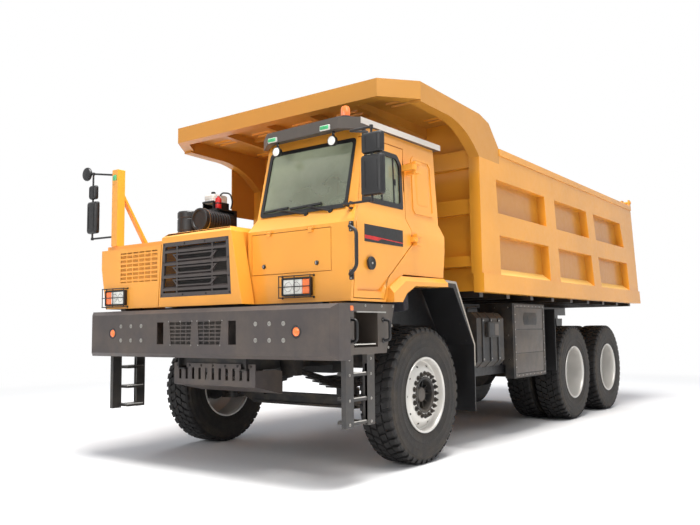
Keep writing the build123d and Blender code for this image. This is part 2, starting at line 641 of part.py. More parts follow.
def right_fender():
    """The right-hand fender and deck, beside the hood, with a barred cooling window."""
    x0, x1, low_x = DECK_X, HOOD_X0 - 12, HOOD_FLARE_X0 - 8
    bevel, t, back_y = 45, 8, -700
    face = [(low_x, SKIRT_Z), (x1, DECK_Z - bevel), (x0, DECK_Z - bevel), (x0, 2050), (x0 + 90, SKIRT_Z)]
    cavity = [(low_x + 40, SKIRT_Z - 1), (x1 + 40, DECK_Z - bevel - t), (x0 + t, DECK_Z - bevel - t),
              (x0 + t, 2050), (x0 + 90 + t, SKIRT_Z - 1)]
    box = front_plate(face, HOOD_Y, back_y) - front_plate(cavity, HOOD_Y + t, back_y + 1)
    x_lo, x_hi, z_lo, z_hi = MESH
    box = box - block(x_lo, x_hi, HOOD_Y - 5, HOOD_Y + t + 5, z_lo, z_hi)
    bars = [block(x_lo - 5, x_hi + 5, HOOD_Y + 1, HOOD_Y + t, z - 9, z + 9)
            for z in [z_lo + (i + 0.5) * (z_hi - z_lo) / 7 for i in range(7)]]
    bars += [block(x - 9, x + 9, HOOD_Y + 1, HOOD_Y + t, z_lo - 5, z_hi + 5)
             for x in [x_lo + (i + 1) * (x_hi - x_lo) / 6 for i in range(5)]]
    deck = deck_plate([(x1, HOOD_Y + bevel), (x0 + bevel, HOOD_Y + bevel), (x0 + bevel, DECK_BACK_Y),
                       (x1, DECK_BACK_Y)], DECK_Z - bevel, DECK_Z)
    sill = block(x0, x1, HOOD_Y, DECK_BACK_Y, DECK_Z - bevel - 12, DECK_Z - bevel)
    arch = side_plate([(back_y, SKIRT_Z), (-520, CAB_ARCH_Z), (DECK_BACK_Y, CAB_ARCH_Z), (DECK_BACK_Y, DECK_Z - 50),
                       (back_y, DECK_Z - 50)], x0, x0 + t)
    back = block(x0, x1, DECK_BACK_Y - t, DECK_BACK_Y, CAB_ARCH_Z, DECK_Z - bevel)
    return fuse([box, deck, sill, arch, back] + bars)


def mirror_mast():
    """The square mast on the right deck with its raking strut."""
    mast = block(-1550, -1450, -1505, -1405, DECK_Z, 3170)
    strut = side_plate([(-1406, 2920), (-1406, 2860), (-1060, DECK_Z), (-1010, DECK_Z)], -1530, -1470)
    return fuse([mast, strut])


def cab_profile(shrink):
    """The cab in side view as (y, z), drawn in by the wall thickness."""
    s = shrink
    return [(CAB_FRONT_Y + s, CAB_FLOOR_Z + s), (CAB_FRONT_Y + s, CAB_SHOULDER_Z - s / 3),
            (SCREEN_Y0 + s, SCREEN_Z0 - 20), (SCREEN_Y1 + s, SCREEN_Z1 + 10), (SCREEN_Y1 + 40 + s, CAB_ROOF_Z - s),
            (CAB_BACK_Y - 40 - s, CAB_ROOF_Z - s), (CAB_BACK_Y - s, CAB_SILL_Z), (CAB_BACK_Y - s, CAB_ARCH_Z + s),
            (-520 - s / 2, CAB_ARCH_Z + s), (-720 - s / 2, CAB_FLOOR_Z + 120 + s), (-800 - s / 2, CAB_FLOOR_Z + s)]


def cab_section(shrink):
    """The cab in front view as (x, z), drawn in by the wall thickness."""
    s = shrink
    return [(CAB_IN_X + s, CAB_FLOOR_Z + s - 1), (CAB_IN_X + s, CAB_ROOF_Z - s + 1), (CAB_ROOF_X - s, CAB_ROOF_Z - s + 1),
            (CAB_UPPER_X - s, CAB_SILL_Z + s / 4), (CAB_SIDE_X - s, CAB_SHOULDER_Z + s / 4), (CAB_SIDE_X - s, CAB_WAIST_Z),
            (CAB_SILL_X - s, CAB_FLOOR_Z + s - 1)]


def cab_solid(shrink):
    long = side_plate(cab_profile(shrink), 0, 2000)
    cross = front_plate(cab_section(shrink), -2000, 1000)
    return long & cross


DOOR_BACK_Y = -392
DOOR_FRONT_Y = -1305


def door_outline(grow):
    """The door in side view as (y, z)."""
    g = grow
    return [(DOOR_FRONT_Y - g, CAB_FLOOR_Z + 30 - g), (DOOR_FRONT_Y - g, CAB_SHOULDER_Z - 5),
            (-1180 - g, CAB_SILL_Z + 30), (-1065 - g, 3125 + g), (DOOR_BACK_Y + g, 3125 + g),
            (DOOR_BACK_Y + g, 2170 - g), (-780 + g, 1830 - g), (-830 + g, CAB_FLOOR_Z + 30 - g)]


WINDOW_OUTLINE = [(-1122, 2512), (-1050, 3000), (-1010, 3050), (-500, 3050), (-425, 2960), (-425, 2512)]
LID = (472, 1440, 1878, 2262)
LID_T = 20
LID_HINGE_X = (700, 1210)
LID_AXIS_Z = 2272
LID_PIN_R = 5


def cab_shell():
    """The hollow cab with its door opening, lid recess and window openings."""
    shell = cab_solid(0) - cab_solid(CAB_WALL)
    shell = shell - side_plate(door_outline(DOOR_GAP), CAB_UPPER_X - 90, CAB_SIDE_X + 60)
    shell = shell - screen_slab(0, 200, 0)
    shell = shell - block(560, 1500, CAB_BACK_Y - 120, CAB_BACK_Y + 60, 2520, 3060)
    shell = shell - side_plate(SIDE_WINDOW, CAB_IN_X - 10, CAB_IN_X + CAB_WALL + 10)
    x0, x1, z0, z1 = LID
    shell = shell - block(x0 - 6, x1 + 6, CAB_FRONT_Y - 5, CAB_FRONT_Y + LID_T + 6, z0 - 6, z1 + 6)
    mirror_feet = [block(1590, 1632, -1085, -1045, 3134, 3170), block(1550, 1605, -1260, -1210, 2440, 2464)]
    return fuse([shell, arch_flare(), quarter_frame()] + hinge_posts() + lid_lugs() + mirror_feet)


QUARTER_OUTER = [(-205, 2500), (-245, 2540), (-245, 3050), (-205, 3090), (90, 3090), (150, 3030), (172, 2540), (135, 2500)]
QUARTER_INNER = [(-195, 2535), (-212, 2550), (-212, 3040), (-195, 3057), (80, 3057), (120, 3015), (138, 2550), (122, 2535)]


def quarter_frame():
    """The raised frame pressed into the cab's left rear quarter."""
    skin = cab_solid(-QUARTER_RISE) - cab_solid(10)
    ring = side_plate(QUARTER_OUTER, 1500, 1800) - side_plate(QUARTER_INNER, 1490, 1810)
    return skin & ring


QUARTER_RISE = 9


def arch_flare():
    """The lip over the front wheel along the cab's lower edge, its upper edge cut at a slope."""
    face = CAB_SIDE_X + 33
    flare = side_plate([(-772, CAB_FLOOR_Z), (-772, 1735), (-572, 1850), (CAB_BACK_Y, 1862), (CAB_BACK_Y, 1776),
                        (-380, 1762), (-548, 1684), (-625, CAB_FLOOR_Z)], 1560, face)
    outer = [e for e in flare.edges() if e.center().X > face - 1 and 1782 < e.center().Z and e.center().Y < 200]
    return chamfer(outer, 48)


def lid_lugs():
    """The fixed halves of the service lid's hinges, with their pins."""
    lugs = []
    for x in LID_HINGE_X:
        tabs = [block(x + a, x + b, CAB_FRONT_Y - 20, CAB_FRONT_Y, LID_AXIS_Z, LID_AXIS_Z + 14) for a, b in ((-44, -28), (28, 44))]
        pin = bar((x - 44, CAB_FRONT_Y - 12, LID_AXIS_Z), (x + 44, CAB_FRONT_Y - 12, LID_AXIS_Z), LID_PIN_R)
        lugs.append(fuse(tabs + [pin]))
    return lugs


SIDE_WINDOW = [(-1060, 2520), (-990, 3050), (60, 3050), (60, 2520)]


def screen_slab(shrink, thickness, setback):
    """A slab in the windscreen's sloping plane."""
    dy = SCREEN_Y1 - SCREEN_Y0
    dz = SCREEN_Z1 - SCREEN_Z0
    length = math.hypot(dy, dz)
    ny, nz = -dz / length, dy / length
    uy, uz = dy / length, dz / length
    y = SCREEN_Y0 + uy * shrink
    z = SCREEN_Z0 + uz * shrink
    far = length - 2 * shrink
    out = thickness / 2 - setback
    back = -thickness / 2 - setback
    outline = [(y + ny * out, z + nz * out), (y + ny * back, z + nz * back),
               (y + ny * back + uy * far, z + nz * back + uz * far), (y + ny * out + uy * far, z + nz * out + uz * far)]
    return side_plate(outline, SCREEN_X0 + shrink, SCREEN_X1 - shrink)


def cab_glass():
    """The windscreen, rear window and right side window."""
    screen = screen_slab(0, GLASS_T, 12)
    rear_y = CAB_BACK_Y - 30
    rear = block(560, 1500, rear_y - GLASS_T, rear_y, 2520, 3060) & cab_solid(8)
    side = side_plate(SIDE_WINDOW, CAB_IN_X + 15, CAB_IN_X + 15 + GLASS_T)
    return group([screen, rear, side])


def cab_door():
    """The cab door, hinged at its rear edge, with two hinge knuckles and a window opening."""
    skin = (cab_solid(0) - cab_solid(CAB_WALL)) & side_plate(door_outline(0), CAB_UPPER_X - 90, CAB_SIDE_X + 60)
    skin = skin - side_plate(WINDOW_OUTLINE, CAB_UPPER_X - 90, CAB_SIDE_X + 60)
    leaves = []
    for z0, z1, x in HINGE_ROWS:
        leaf = fuse([block(x - 10, DOOR_HINGE_X, DOOR_BACK_Y - 28, DOOR_BACK_Y - 2, z0, z1),
                     block(x + 4, DOOR_HINGE_X, DOOR_BACK_Y - 28, DOOR_HINGE_Y, z0, z1)])
        knuckle_ring = Pos(DOOR_HINGE_X, DOOR_HINGE_Y, (z0 + z1) / 2) * Cylinder(24, z1 - z0)
        bore = Pos(DOOR_HINGE_X, DOOR_HINGE_Y, (z0 + z1) / 2) * Cylinder(HINGE_R + HUB_GAP, z1 - z0 + 10)
        leaves.append(fuse([leaf, knuckle_ring]) - bore)
    pocket = front_plate([(1677, 1857), (1636, 1692), (1720, 1692), (1720, 1857)], DOOR_FRONT_Y, -700)
    skin = skin - (pocket & side_plate([(-1256, 1690), (-882, 1690), (-760, 1860), (-1256, 1860)], 1600, 1730))
    handle = drum((CAB_SIDE_X - 30, -1089, 1940), (CAB_SIDE_X + 6, -1089, 1940), 48)
    return fuse([skin, handle] + leaves)


# columns: bottom and top of the door's knuckle, and the skin's X there
HINGE_ROWS = ((2190, 2240, CAB_SIDE_X - 2), (2905, 2960, CAB_UPPER_X - 14))


def hinge_posts():
    """The cab's halves of the door hinges, with the pins."""
    posts = []
    for z0, z1, x in HINGE_ROWS:
        arm = block(x - 14, DOOR_HINGE_X, DOOR_HINGE_Y + 30, DOOR_HINGE_Y + 80, z0 - 30, z1 + 30)
        tabs = [block(DOOR_HINGE_X - 22, DOOR_HINGE_X + 22, DOOR_HINGE_Y - 18, DOOR_HINGE_Y + 80, a, b)
                for a, b in ((z0 - 30, z0 - 3), (z1 + 3, z1 + 30))]
        pin = Pos(DOOR_HINGE_X, DOOR_HINGE_Y, (z0 + z1) / 2) * Cylinder(HINGE_R, z1 - z0 + 60)
        posts.append(fuse([arm, pin] + tabs))
    return posts


def door_window():
    """The door's black window frame with its sliding pane."""
    frame_in = [(-1075, 2560), (-1010, 2985), (-985, 3010), (-520, 3010), (-468, 2945), (-468, 2560)]
    slab = side_plate(WINDOW_OUTLINE, CAB_UPPER_X - 90, CAB_SIDE_X + 60) & (cab_solid(6) - cab_solid(32))
    hole = side_plate(frame_in, CAB_UPPER_X - 90, CAB_SIDE_X + 60) & (cab_solid(5) - cab_solid(33))
    pane = side_plate(frame_in, CAB_UPPER_X - 90, CAB_SIDE_X + 60) & (cab_solid(14) - cab_solid(14 + GLASS_T))
    return fuse([slab - hole, pane])


def service_lid():
    """The lid low on the cab's front, hinged along its top edge."""
    x0, x1, z0, z1 = LID
    lid = block(x0, x1, CAB_FRONT_Y, CAB_FRONT_Y + LID_T, z0, z1)
    latches = [Pos(x, CAB_FRONT_Y - 2, z0 + 75) * Rot(90, 0, 0) * Cylinder(16, 10) for x in (x0 + 160, x1 - 160)]
    loops = []
    for x in LID_HINGE_X:
        y = CAB_FRONT_Y - 12
        ring = bar((x - 25, y, LID_AXIS_Z), (x + 25, y, LID_AXIS_Z), 9)
        leaf = block(x - 25, x + 25, y - 4, CAB_FRONT_Y, z1 - 25, LID_AXIS_Z)
        loops.append(fuse([ring, leaf]) - bar((x - 30, y, LID_AXIS_Z), (x + 30, y, LID_AXIS_Z), LID_PIN_R + HUB_GAP))
    return fuse([lid] + latches + loops)


VISOR_T = 55
VISOR_FRONT = [(CAB_IN_X - 60, -1060), (570, -1235), (1480, -1275), (1635, -1135)]


def roof_visor():
    """The roof tray with its deep front visor and cut corners."""
    z0, z1 = CAB_ROOF_Z, CAB_ROOF_Z + VISOR_T
    tray = deck_plate(VISOR_FRONT + [(1660, 280), (CAB_IN_X - 60, 280)], z0, z1)
    brow = deck_plate(VISOR_FRONT + [(1640, -1060), (1470, -1195), (580, -1160), (CAB_IN_X - 20, -1045)],
                      z0 - VISOR_T, z0)
    return fuse([tray, brow])


LAMP_X = (700, 1385)


def roof_lamps():
    """Two round work lamps, two marker lamps and the beacon."""
    works = []
    for x in LAMP_X:
        shell = Pos(x, -1225, 3080) * Rot(90, 0, 0) * Cylinder(48, 60)
        stalk = block(x - 12, x + 12, -1240, -1200, 3110, CAB_ROOF_Z - 55)
        works.append(fuse([shell, stalk]))
    markers = [block(x - 50, x + 50, y - 22, y, CAB_ROOF_Z - 45, CAB_ROOF_Z - 8)
               for x, y in ((650, -1241.5), (1330, -1271.2))]
    beacon = Pos(1475, -1150, CAB_ROOF_Z + VISOR_T + 65) * Cylinder(52, 130)
    return group(works + [beacon])


def headlights():
    """Both headlight boxes behind their bar guards, and the bumper's round ambers."""
    lamps = []
    # columns: left edge, right edge, bottom, top, face y
    for x0, x1, z0, z1, y in ((860, 1250, 1640, 1850, CAB_FRONT_Y), (-1585, -1195, 1615, 1825, HOOD_Y)):
        case = block(x0 + 15, x1 - 15, y - 35, y, z0 + 15, z1 - 15)
        guard = [block(x0, x1, y - 62, y - 50, z, z + 12) for z in (z0, (z0 + z1) / 2, z1 - 12)]
        guard += [block(x, x + 12, y - 62, y - 50, z0, z1) for x in (x0, (x0 + x1) / 2, x1 - 12)]
        stays = [block(x, x + 12, y - 50, y, z, z + 12) for x in (x0, x1 - 12) for z in (z0, z1 - 12)]
        lamps.append(fuse([case] + guard + stays))
    for s in (-1, 1):
        lamps.append(Pos(s * BUMPER_LAMP_X, BUMPER_Y + 2, BUMPER_LAMP_Z) * Rot(90, 0, 0)
                     * Cylinder(BUMPER_LAMP_R, 24))
    return group(lamps)


def seat():
    cushion = block(1010, 1500, -760, -260, 2020, 2150)
    back = side_plate([(-340, 2150), (-240, 2150), (-120, 2780), (-210, 2800)], 1030, 1480)
    base = block(1080, 1430, -700, -330, CAB_ARCH_Z + CAB_WALL + 0.3, 2020)
    return fuse([cushion, back, base])


def dashboard():
    """The dash across the cab with the steering column and wheel."""
    dash = side_plate([(CAB_FRONT_Y + CAB_WALL + 30, 2060), (CAB_FRONT_Y + CAB_WALL + 30, 2290), (-1140, 2400), (-960, 2400),
                       (-930, 2300), (-1010, 2060)], CAB_IN_X + CAB_WALL, 1540)
    column = bar((1255, -1080, 2200), (1255, -830, 2470), 32)
    wheel = Plane(origin=(1255, -830, 2470), z_dir=(0, 250, 270)) * (Cylinder(214, 26) - Cylinder(190, 30))
    spokes = Plane(origin=(1255, -830, 2470), z_dir=(0, 250, 270)) * (Box(400, 30, 16) + Box(30, 400, 16))
    return fuse([dash, column, wheel, spokes])


def step_ladder():
    """The left step module with two treads, and the ladder that hangs from it."""
    side = [(STEP_Y0, STEP_Z0), (STEP_Y0, STEP_Z1), (STEP_Y1, STEP_Z1), (STEP_Y1 - 150, STEP_Z0)]
    body = side_plate(side, STEP_IN_X, STEP_X)
    y0, y1 = STEP_Y0 + 115, STEP_Y0 + 480
    recess = block(STEP_IN_X + 60, STEP_X + 5, y0, y1, STEP_Z0 + 60, STEP_Z1 - 75)
    body = body - recess
    treads = [block(STEP_IN_X + 60, STEP_X, y0, y1, z - 12, z + 12) for z in (STEP_Z0 + 60 + 12, )]
    stiles = [side_plate([(a, STEP_Z0), (b, STEP_Z0), (b, LADDER_Z0), (a, LADDER_Z0)], STEP_X - 55, STEP_X - 5)
              for a, b in ((STEP_Y0 - 10, STEP_Y0 + 105), (STEP_Y0 + 310, STEP_Y0 + 425))]
    rungs = [block(STEP_X - 180, STEP_X - 10, STEP_Y0 + 95, STEP_Y0 + 320, z - 12, z + 12)
             for z in (955, 738, 535)]
    return fuse([body] + stiles + rungs)


def grab_handles():
    """Round-bar handles on the left step module and the tall grab tube on the cab."""
    handles = []
    for y in (STEP_Y0 + 55, STEP_Y0 + 570):
        points = [(STEP_X, y, 1245), (STEP_X + 45, y, 1245), (STEP_X + 45, y, 1435), (STEP_X, y, 1435)]
        handles += pair(tube_run(points, 11))
    x, y = CAB_SIDE_X - 50, CAB_FRONT_Y
    tall = tube_run([(x, y, 1845), (x, y - 35, 1845), (x + 60, y - 60, 1900), (x + 60, y - 60, 2205),
                     (x, y - 35, 2250), (x, y, 2250)], 15)
    feet = [block(x - 22, x + 22, y - 14, y, z - 45, z + 45) for z in (1845, 2250)]
    return group(handles + [fuse([tall] + feet)])


def mirrors():
    """Mirror heads with their tube arms: left on the cab's pillar, right on the mast."""
    x, y = 1900, -1340
    left = fuse([block(x - 100, x + 130, y - 50, y + 10, 2495, 2850),
                 block(x - 95, x + 125, y - 45, y + 10, 2865, 3050),
                 bar((x, y - 10, 2452), (x, y - 10, 3100), 12),
                 tube_run([(1632, -1065, 3152), (1665, -1065, 3152), (1665, y - 10, 3100), (x, y - 10, 3100)], 12),
                 tube_run([(1580, -1260, 2452), (1580, y - 10, 2452), (x, y - 10, 2452)], 12)])
    rx, ry = -1930, -1470
    right = fuse([block(rx - 70, rx + 110, ry - 60, ry, 2480, 2850), block(rx - 50, rx + 80, ry - 55, ry, 2880, 3040),
                  bar((rx, ry - 20, 2420), (rx, ry - 20, 3180), 12),
                  Pos(rx - 110, ry - 30, 3190) * Rot(90, 0, 0) * Cylinder(80, 40),
                  tube_run([(-1550, -1455, 3130), (-1600, -1455, 3130), (rx, ry - 20, 3180), (rx - 60, ry - 20, 3186)], 12),
                  tube_run([(-1550, -1455, 2420), (-1600, -1455, 2420), (rx, ry - 20, 2420)], 12)])
    return group([left, right])


def mudguards():
    """The slanted guards and flaps behind the front wheels, the flaps ahead of the drive wheels, and the carrier beams."""
    strip = side_plate([(262, 1862), (262, 1800), (540, 1780), (985, 1160), (985, 430), (1000, 430), (1010, 1165),
                        (600, 1850)], 1235, 1640)
    flap = block(1010, 1600, 3545, 3560, 745, 1600)
    beam = block(1380, 1460, 1012, 3545, SIDE_BEAM_Z - 100, SIDE_BEAM_Z)
    brackets = []
    for y in (1080, 2072, 3300):
        brackets.append(block(RAIL_X, 1460, y, y + 54, 990, 1070))
        brackets.append(block(1380, 1460, y, y + 54, SIDE_BEAM_Z - 10, 1070))
    brackets.append(block(RAIL_X, 1300, 900, 980, 1195, 1275))
    guard = fuse([strip] + brackets[-1:])
    return group([arch_liner()] + pair(guard) + pair(fuse([flap, beam] + brackets[:-1])))


def arch_liner():
    """The sheet lining over and behind the left front wheel, under the cab."""
    back = CAB_MOUNT_Y
    roof = side_plate([(back, 1806), (-480, 1806), (-650, 1674), (-690, 1606), (-684, 1603), (-645, 1669),
                       (-477, 1800), (back, 1800)], 1195, 1550)
    wall = side_plate([(back, 1806), (-480, 1806), (-650, 1674), (-690, 1606), (-560, 1400), (back, 1400)], 1195, 1201)
    return fuse([roof, wall])


SIDE_BEAM_Z = 884


def fuel_tank():
    """The rounded fuel tank between the front guard and the cabinet, with three straps."""
    core = Pos((1180 + 1570) / 2, 1560, 1210) * Box(390, 720, 640)
    core = chamfer(core.edges().filter_by(Axis.Y), 70)
    straps = []
    for y in (1350, 1560, 1770):
        ring = Pos((1180 + 1570) / 2, y, 1210) * Box(402, 50, 652)
        straps.append(chamfer(ring.edges().filter_by(Axis.Y), 74))
    return fuse([core] + straps)


def cabinet():
    """The black cabinet behind the fuel tank with a raised door frame."""
    body = block(1150, 1600, 2130, 3170, SIDE_BEAM_Z, 1655)
    face = block(1590, 1606, 2170, 3130, 730, 1640)
    apron = block(1480, 1600, 2130, 3170, 715, SIDE_BEAM_Z)
    return fuse([body, apron, face - block(1600.5, 1607, 2200, 3100, 760, 1610)])


def right_tanks():
    """The hydraulic tank and two air reservoirs on the right side."""
    tank = Pos(-1380, 2650, SIDE_BEAM_Z + 350) * Box(400, 900, 700)
    tank = chamfer(tank.edges().filter_by(Axis.Y), 45)
    cap = drum((-1380, 2450, SIDE_BEAM_Z + 690), (-1380, 2450, SIDE_BEAM_Z + 745), 70, 12)
    airs = [drum((-1440, 1210, z), (-1440, 2070, z), 140) for z in (1070, 1380)]
    cradle = block(-1460, -1300, 1400, 1440, SIDE_BEAM_Z, 1540)
    return group([fuse([tank, cap]), fuse(airs + [cradle])])


def air_filters():
    """The lying air filter and the upright pre-cleaner on the right deck."""
    lying = drum((-870, -800, 2620), (-870, -360, 2620), 128)
    rim = drum((-870, -832, 2620), (-870, -792, 2620), 134)
    saddle = block(-960, -780, -700, -460, DECK_Z, 2510)
    upright = drum((-1175, -700, DECK_Z), (-1175, -700, DECK_Z + 400), 138)
    return group([fuse([lying, rim, saddle]), upright])


def expansion_tank():
    """The coolant tank on its bracket, behind the air filter."""
    bracket = block(-1040, -790, -340, -300, DECK_Z, 2760)
    shelf = block(-1060, -770, -620, -300, 2752, 2772)
    tank = block(-1045, -785, -600, -360, 2772, 2960)
    neck = Pos(-960, -480, 2975) * Cylinder(34, 40)
    return fuse([bracket, shelf, tank, neck])


# Side bays of the dump body, as (y at the bay's top, y at the bay's bottom) of its front and rear edges.
UPPER_BAYS = (((1408, 1440), (2893, 2940)), ((3251, 3300), (4545, 4640)), ((4865, 4965), (6250, 6410)))
LOWER_BAYS = (((1468, 1478), (2985, 3030)), ((3345, 3400), (4715, 4815)), ((5045, 5145), (6560, 6665)))
UPPER_Z = (BODY_TOP_Z - 740, BODY_TOP_Z - 385)
LOWER_Z = (2000, BODY_TOP_Z - 1045)


def rear_y(z):
    """Where the body's sloping rear edge is at a height."""
    share = (BODY_TOP_Z - z) / (BODY_TOP_Z - BODY_LOW_Z)
    return BODY_TOP_REAR_Y + share * (BODY_LOW_REAR_Y - BODY_TOP_REAR_Y)


def body_side():
    """The left side: the sheet, the ribs round six bays, the bottom band and the top rail."""
    seam_z, seam_y = CANOPY_SEAM_Z, CANOPY_SEAM_Y
    slab = side_plate([(BODY_FRONT_Y, BAND_TOP_Z), (BODY_FRONT_Y, seam_z), (seam_y, seam_z), (seam_y, BODY_TOP_Z),
                       (BODY_TOP_REAR_Y, BODY_TOP_Z), (rear_y(BAND_TOP_Z), BAND_TOP_Z)], SHEET_X, BODY_X)
    for bays, (low, high) in ((UPPER_BAYS, UPPER_Z), (LOWER_BAYS, LOWER_Z)):
        for (f_top, f_low), (r_top, r_low) in bays:
            reach = 50
            slope = (r_low - r_top) / (high - low)
            lead = (f_low - f_top) / (high - low)
            outline = [(f_top, high), (f_low + lead * reach, low - reach), (r_low + slope * reach, low - reach), (r_top, high)]
            section = [(SHEET_X, low), (SHEET_X, high), (BODY_X + 5, high), (BODY_X + 5, low - 45)]
            slab = slab - (side_plate(outline, SHEET_X, BODY_X + 5) & front_plate(section, f_top - 200, r_low + 200))
    sheet = side_plate([(BULKHEAD_Y, FLOOR_Z), (BULKHEAD_Y, seam_z), (seam_y, seam_z), (seam_y, BODY_TOP_Z),
                        (rear_y(BODY_TOP_Z), BODY_TOP_Z), (rear_y(FLOOR_Z), FLOOR_Z)], SHEET_X - SHEET_T, SHEET_X)
    band = side_plate([(BODY_FRONT_Y, BODY_LOW_Z), (BODY_FRONT_Y, BAND_TOP_Z), (rear_y(BAND_TOP_Z), BAND_TOP_Z),
                       (rear_y(BODY_LOW_Z), BODY_LOW_Z)], SHEET_X, BAND_X)
    low = BODY_TOP_Z - 80
    rail = side_plate([(seam_y, low), (seam_y, BODY_TOP_Z), (BODY_TOP_REAR_Y, BODY_TOP_Z), (rear_y(low), low)],
                      SHEET_X, BODY_X + 12)
    flange = block(1630, SHEET_X, BODY_FRONT_Y, BODY_FRONT_Y + 40, BAND_TOP_Z, seam_z)
    return fuse([slab, sheet, band, rail, flange])


def dump_sides():
    ears = [block(SHEET_X - SHEET_T, SHEET_X + 8, GATE_AXIS_Y - 60, GATE_AXIS_Y + 40, BODY_TOP_Z, GATE_AXIS_Z + 45),
            block(BODY_X - 10, BODY_X + 10, GATE_AXIS_Y - 60, GATE_AXIS_Y + 40, BODY_TOP_Z, GATE_AXIS_Z + 45)]
    pin = bar((1570, GATE_AXIS_Y, GATE_AXIS_Z), (BODY_X + 25, GATE_AXIS_Y, GATE_AXIS_Z), 25)
    return group(pair(fuse([body_side(), pin] + ears)))


def dump_floor():
    """The floor plate on crossmembers and two long sills, with the rear pivot ears and hoist notch."""
    inner = SHEET_X - SHEET_T
    floor = block(-inner, inner, BULKHEAD_Y + BULKHEAD_T, rear_y(FLOOR_Z) - GATE_T - 50, FLOOR_Z, FLOOR_Z + FLOOR_T)
    crosses = []
    count = 9
    y0, y1 = BULKHEAD_Y + 60, 7000
    for i in range(count):
        y = y0 + i * (y1 - y0) / (count - 1)
        crosses.append(block(-SHEET_X, SHEET_X, y - 45, y + 45, SILL_TOP_Z, FLOOR_Z))
    sills = [block(s * (RAIL_X - RAIL_W), s * RAIL_X, BULKHEAD_Y - 60, 6610, SILL_Z, SILL_TOP_Z) for s in (-1, 1)]
    tails = [block(s * (RAIL_X - RAIL_W), s * RAIL_X, 6610, 7000, 1560, SILL_TOP_Z) for s in (-1, 1)]
    ears = []
    for s in (-1, 1):
        ear = side_plate([(PIN_Y - 150, 1500), (PIN_Y + 150, 1500), (PIN_Y + 75, PIN_Z - 75), (PIN_Y - 75, PIN_Z - 75)],
                         s * (RAIL_X + 8), s * (RAIL_X + 8 + EAR_T))
        link = block(s * RAIL_X, s * (RAIL_X + 8), PIN_Y - 150, PIN_Y + 150, SILL_Z + 30, 1500)
        bore = bar((s * (RAIL_X - 5), PIN_Y, PIN_Z), (s * (RAIL_X + 80), PIN_Y, PIN_Z), PIN_R + HUB_GAP)
        ears.append(fuse([ear, link]) - bore)
    return fuse([floor] + crosses + sills + tails + ears)


# bottom and top of each horizontal rib on the bulkhead
BULKHEAD_RIBS = ((2050, 2170), (2655, 2830), (CANOPY_SEAM_Z - 95, CANOPY_SEAM_Z + 110))


def dump_bulkhead():
    inner = SHEET_X - SHEET_T
    beam = BODY_X - BEAM_W
    plate = front_plate([(-inner, FLOOR_Z), (inner, FLOOR_Z), (inner, CANOPY_SEAM_Z),
                         (beam, CANOPY_SEAM_Z), (beam, CANOPY_TOP_Z - 60), (-beam, CANOPY_TOP_Z - 60),
                         (-beam, CANOPY_SEAM_Z), (-inner, CANOPY_SEAM_Z)], BULKHEAD_Y, BULKHEAD_Y + BULKHEAD_T)
    low = block(-inner, inner, BULKHEAD_Y - BULKHEAD_T, BULKHEAD_Y, FLOOR_Z - 60, FLOOR_Z + 200)
    ribs = [block(-inner + 16, inner - 16, BULKHEAD_Y - 75, BULKHEAD_Y, a, b) for a, b in BULKHEAD_RIBS]
    # The hoist's upper eye hangs between two plates with a boss on each
    y, z = HOIST_TOP_Y, HOIST_TOP_Z
    cheeks = [side_plate([(y - 75, z - 50), (y - 75, z + 50), (y - 30, z + 90), (BULKHEAD_Y, z + 330),
                          (BULKHEAD_Y, z - 120), (y + 20, z - 70)], s * 64, s * 90) for s in (-1, 1)]
    bosses = [bar((s * 88, y, z), (s * 105, y, z), HOIST_PIN_R + 15) for s in (-1, 1)]
    return fuse([plate, low] + ribs + cheeks + bosses)


def canopy_side():
    """One canopy side beam: straight above the cab, then an arc down to the body's post."""
    x0 = BODY_X - BEAM_W
    points = [(CANOPY_CORNER_Y, CANOPY_LOW_Z - 22), (CANOPY_CORNER_Y, CANOPY_TOP_Z - 2),
              (1030, CANOPY_TOP_Z - 35), (1260, CANOPY_TOP_Z - 95),
              (CANOPY_SEAM_Y, BODY_TOP_Z), (CANOPY_SEAM_Y, CANOPY_SEAM_Z), (BODY_FRONT_Y, CANOPY_SEAM_Z)]
    edges = [Edge.make_line((x0, *a), (x0, *b)) for a, b in zip(points, points[1:])]
    start = (x0, *points[-1])
    mid = (x0, 731, CANOPY_LOW_Z - 158)
    end = (x0, 200, CANOPY_LOW_Z - 34)
    edges.append(Edge.make_three_point_arc(start, mid, end))
    edges.append(Edge.make_line(end, (x0, *points[0])))
    face = Face(Wire(edges))
    return Solid.extrude(face, Vector(BEAM_W, 0, 0))


CANOPY_RIB_X = (-980, -330, 330, 980)


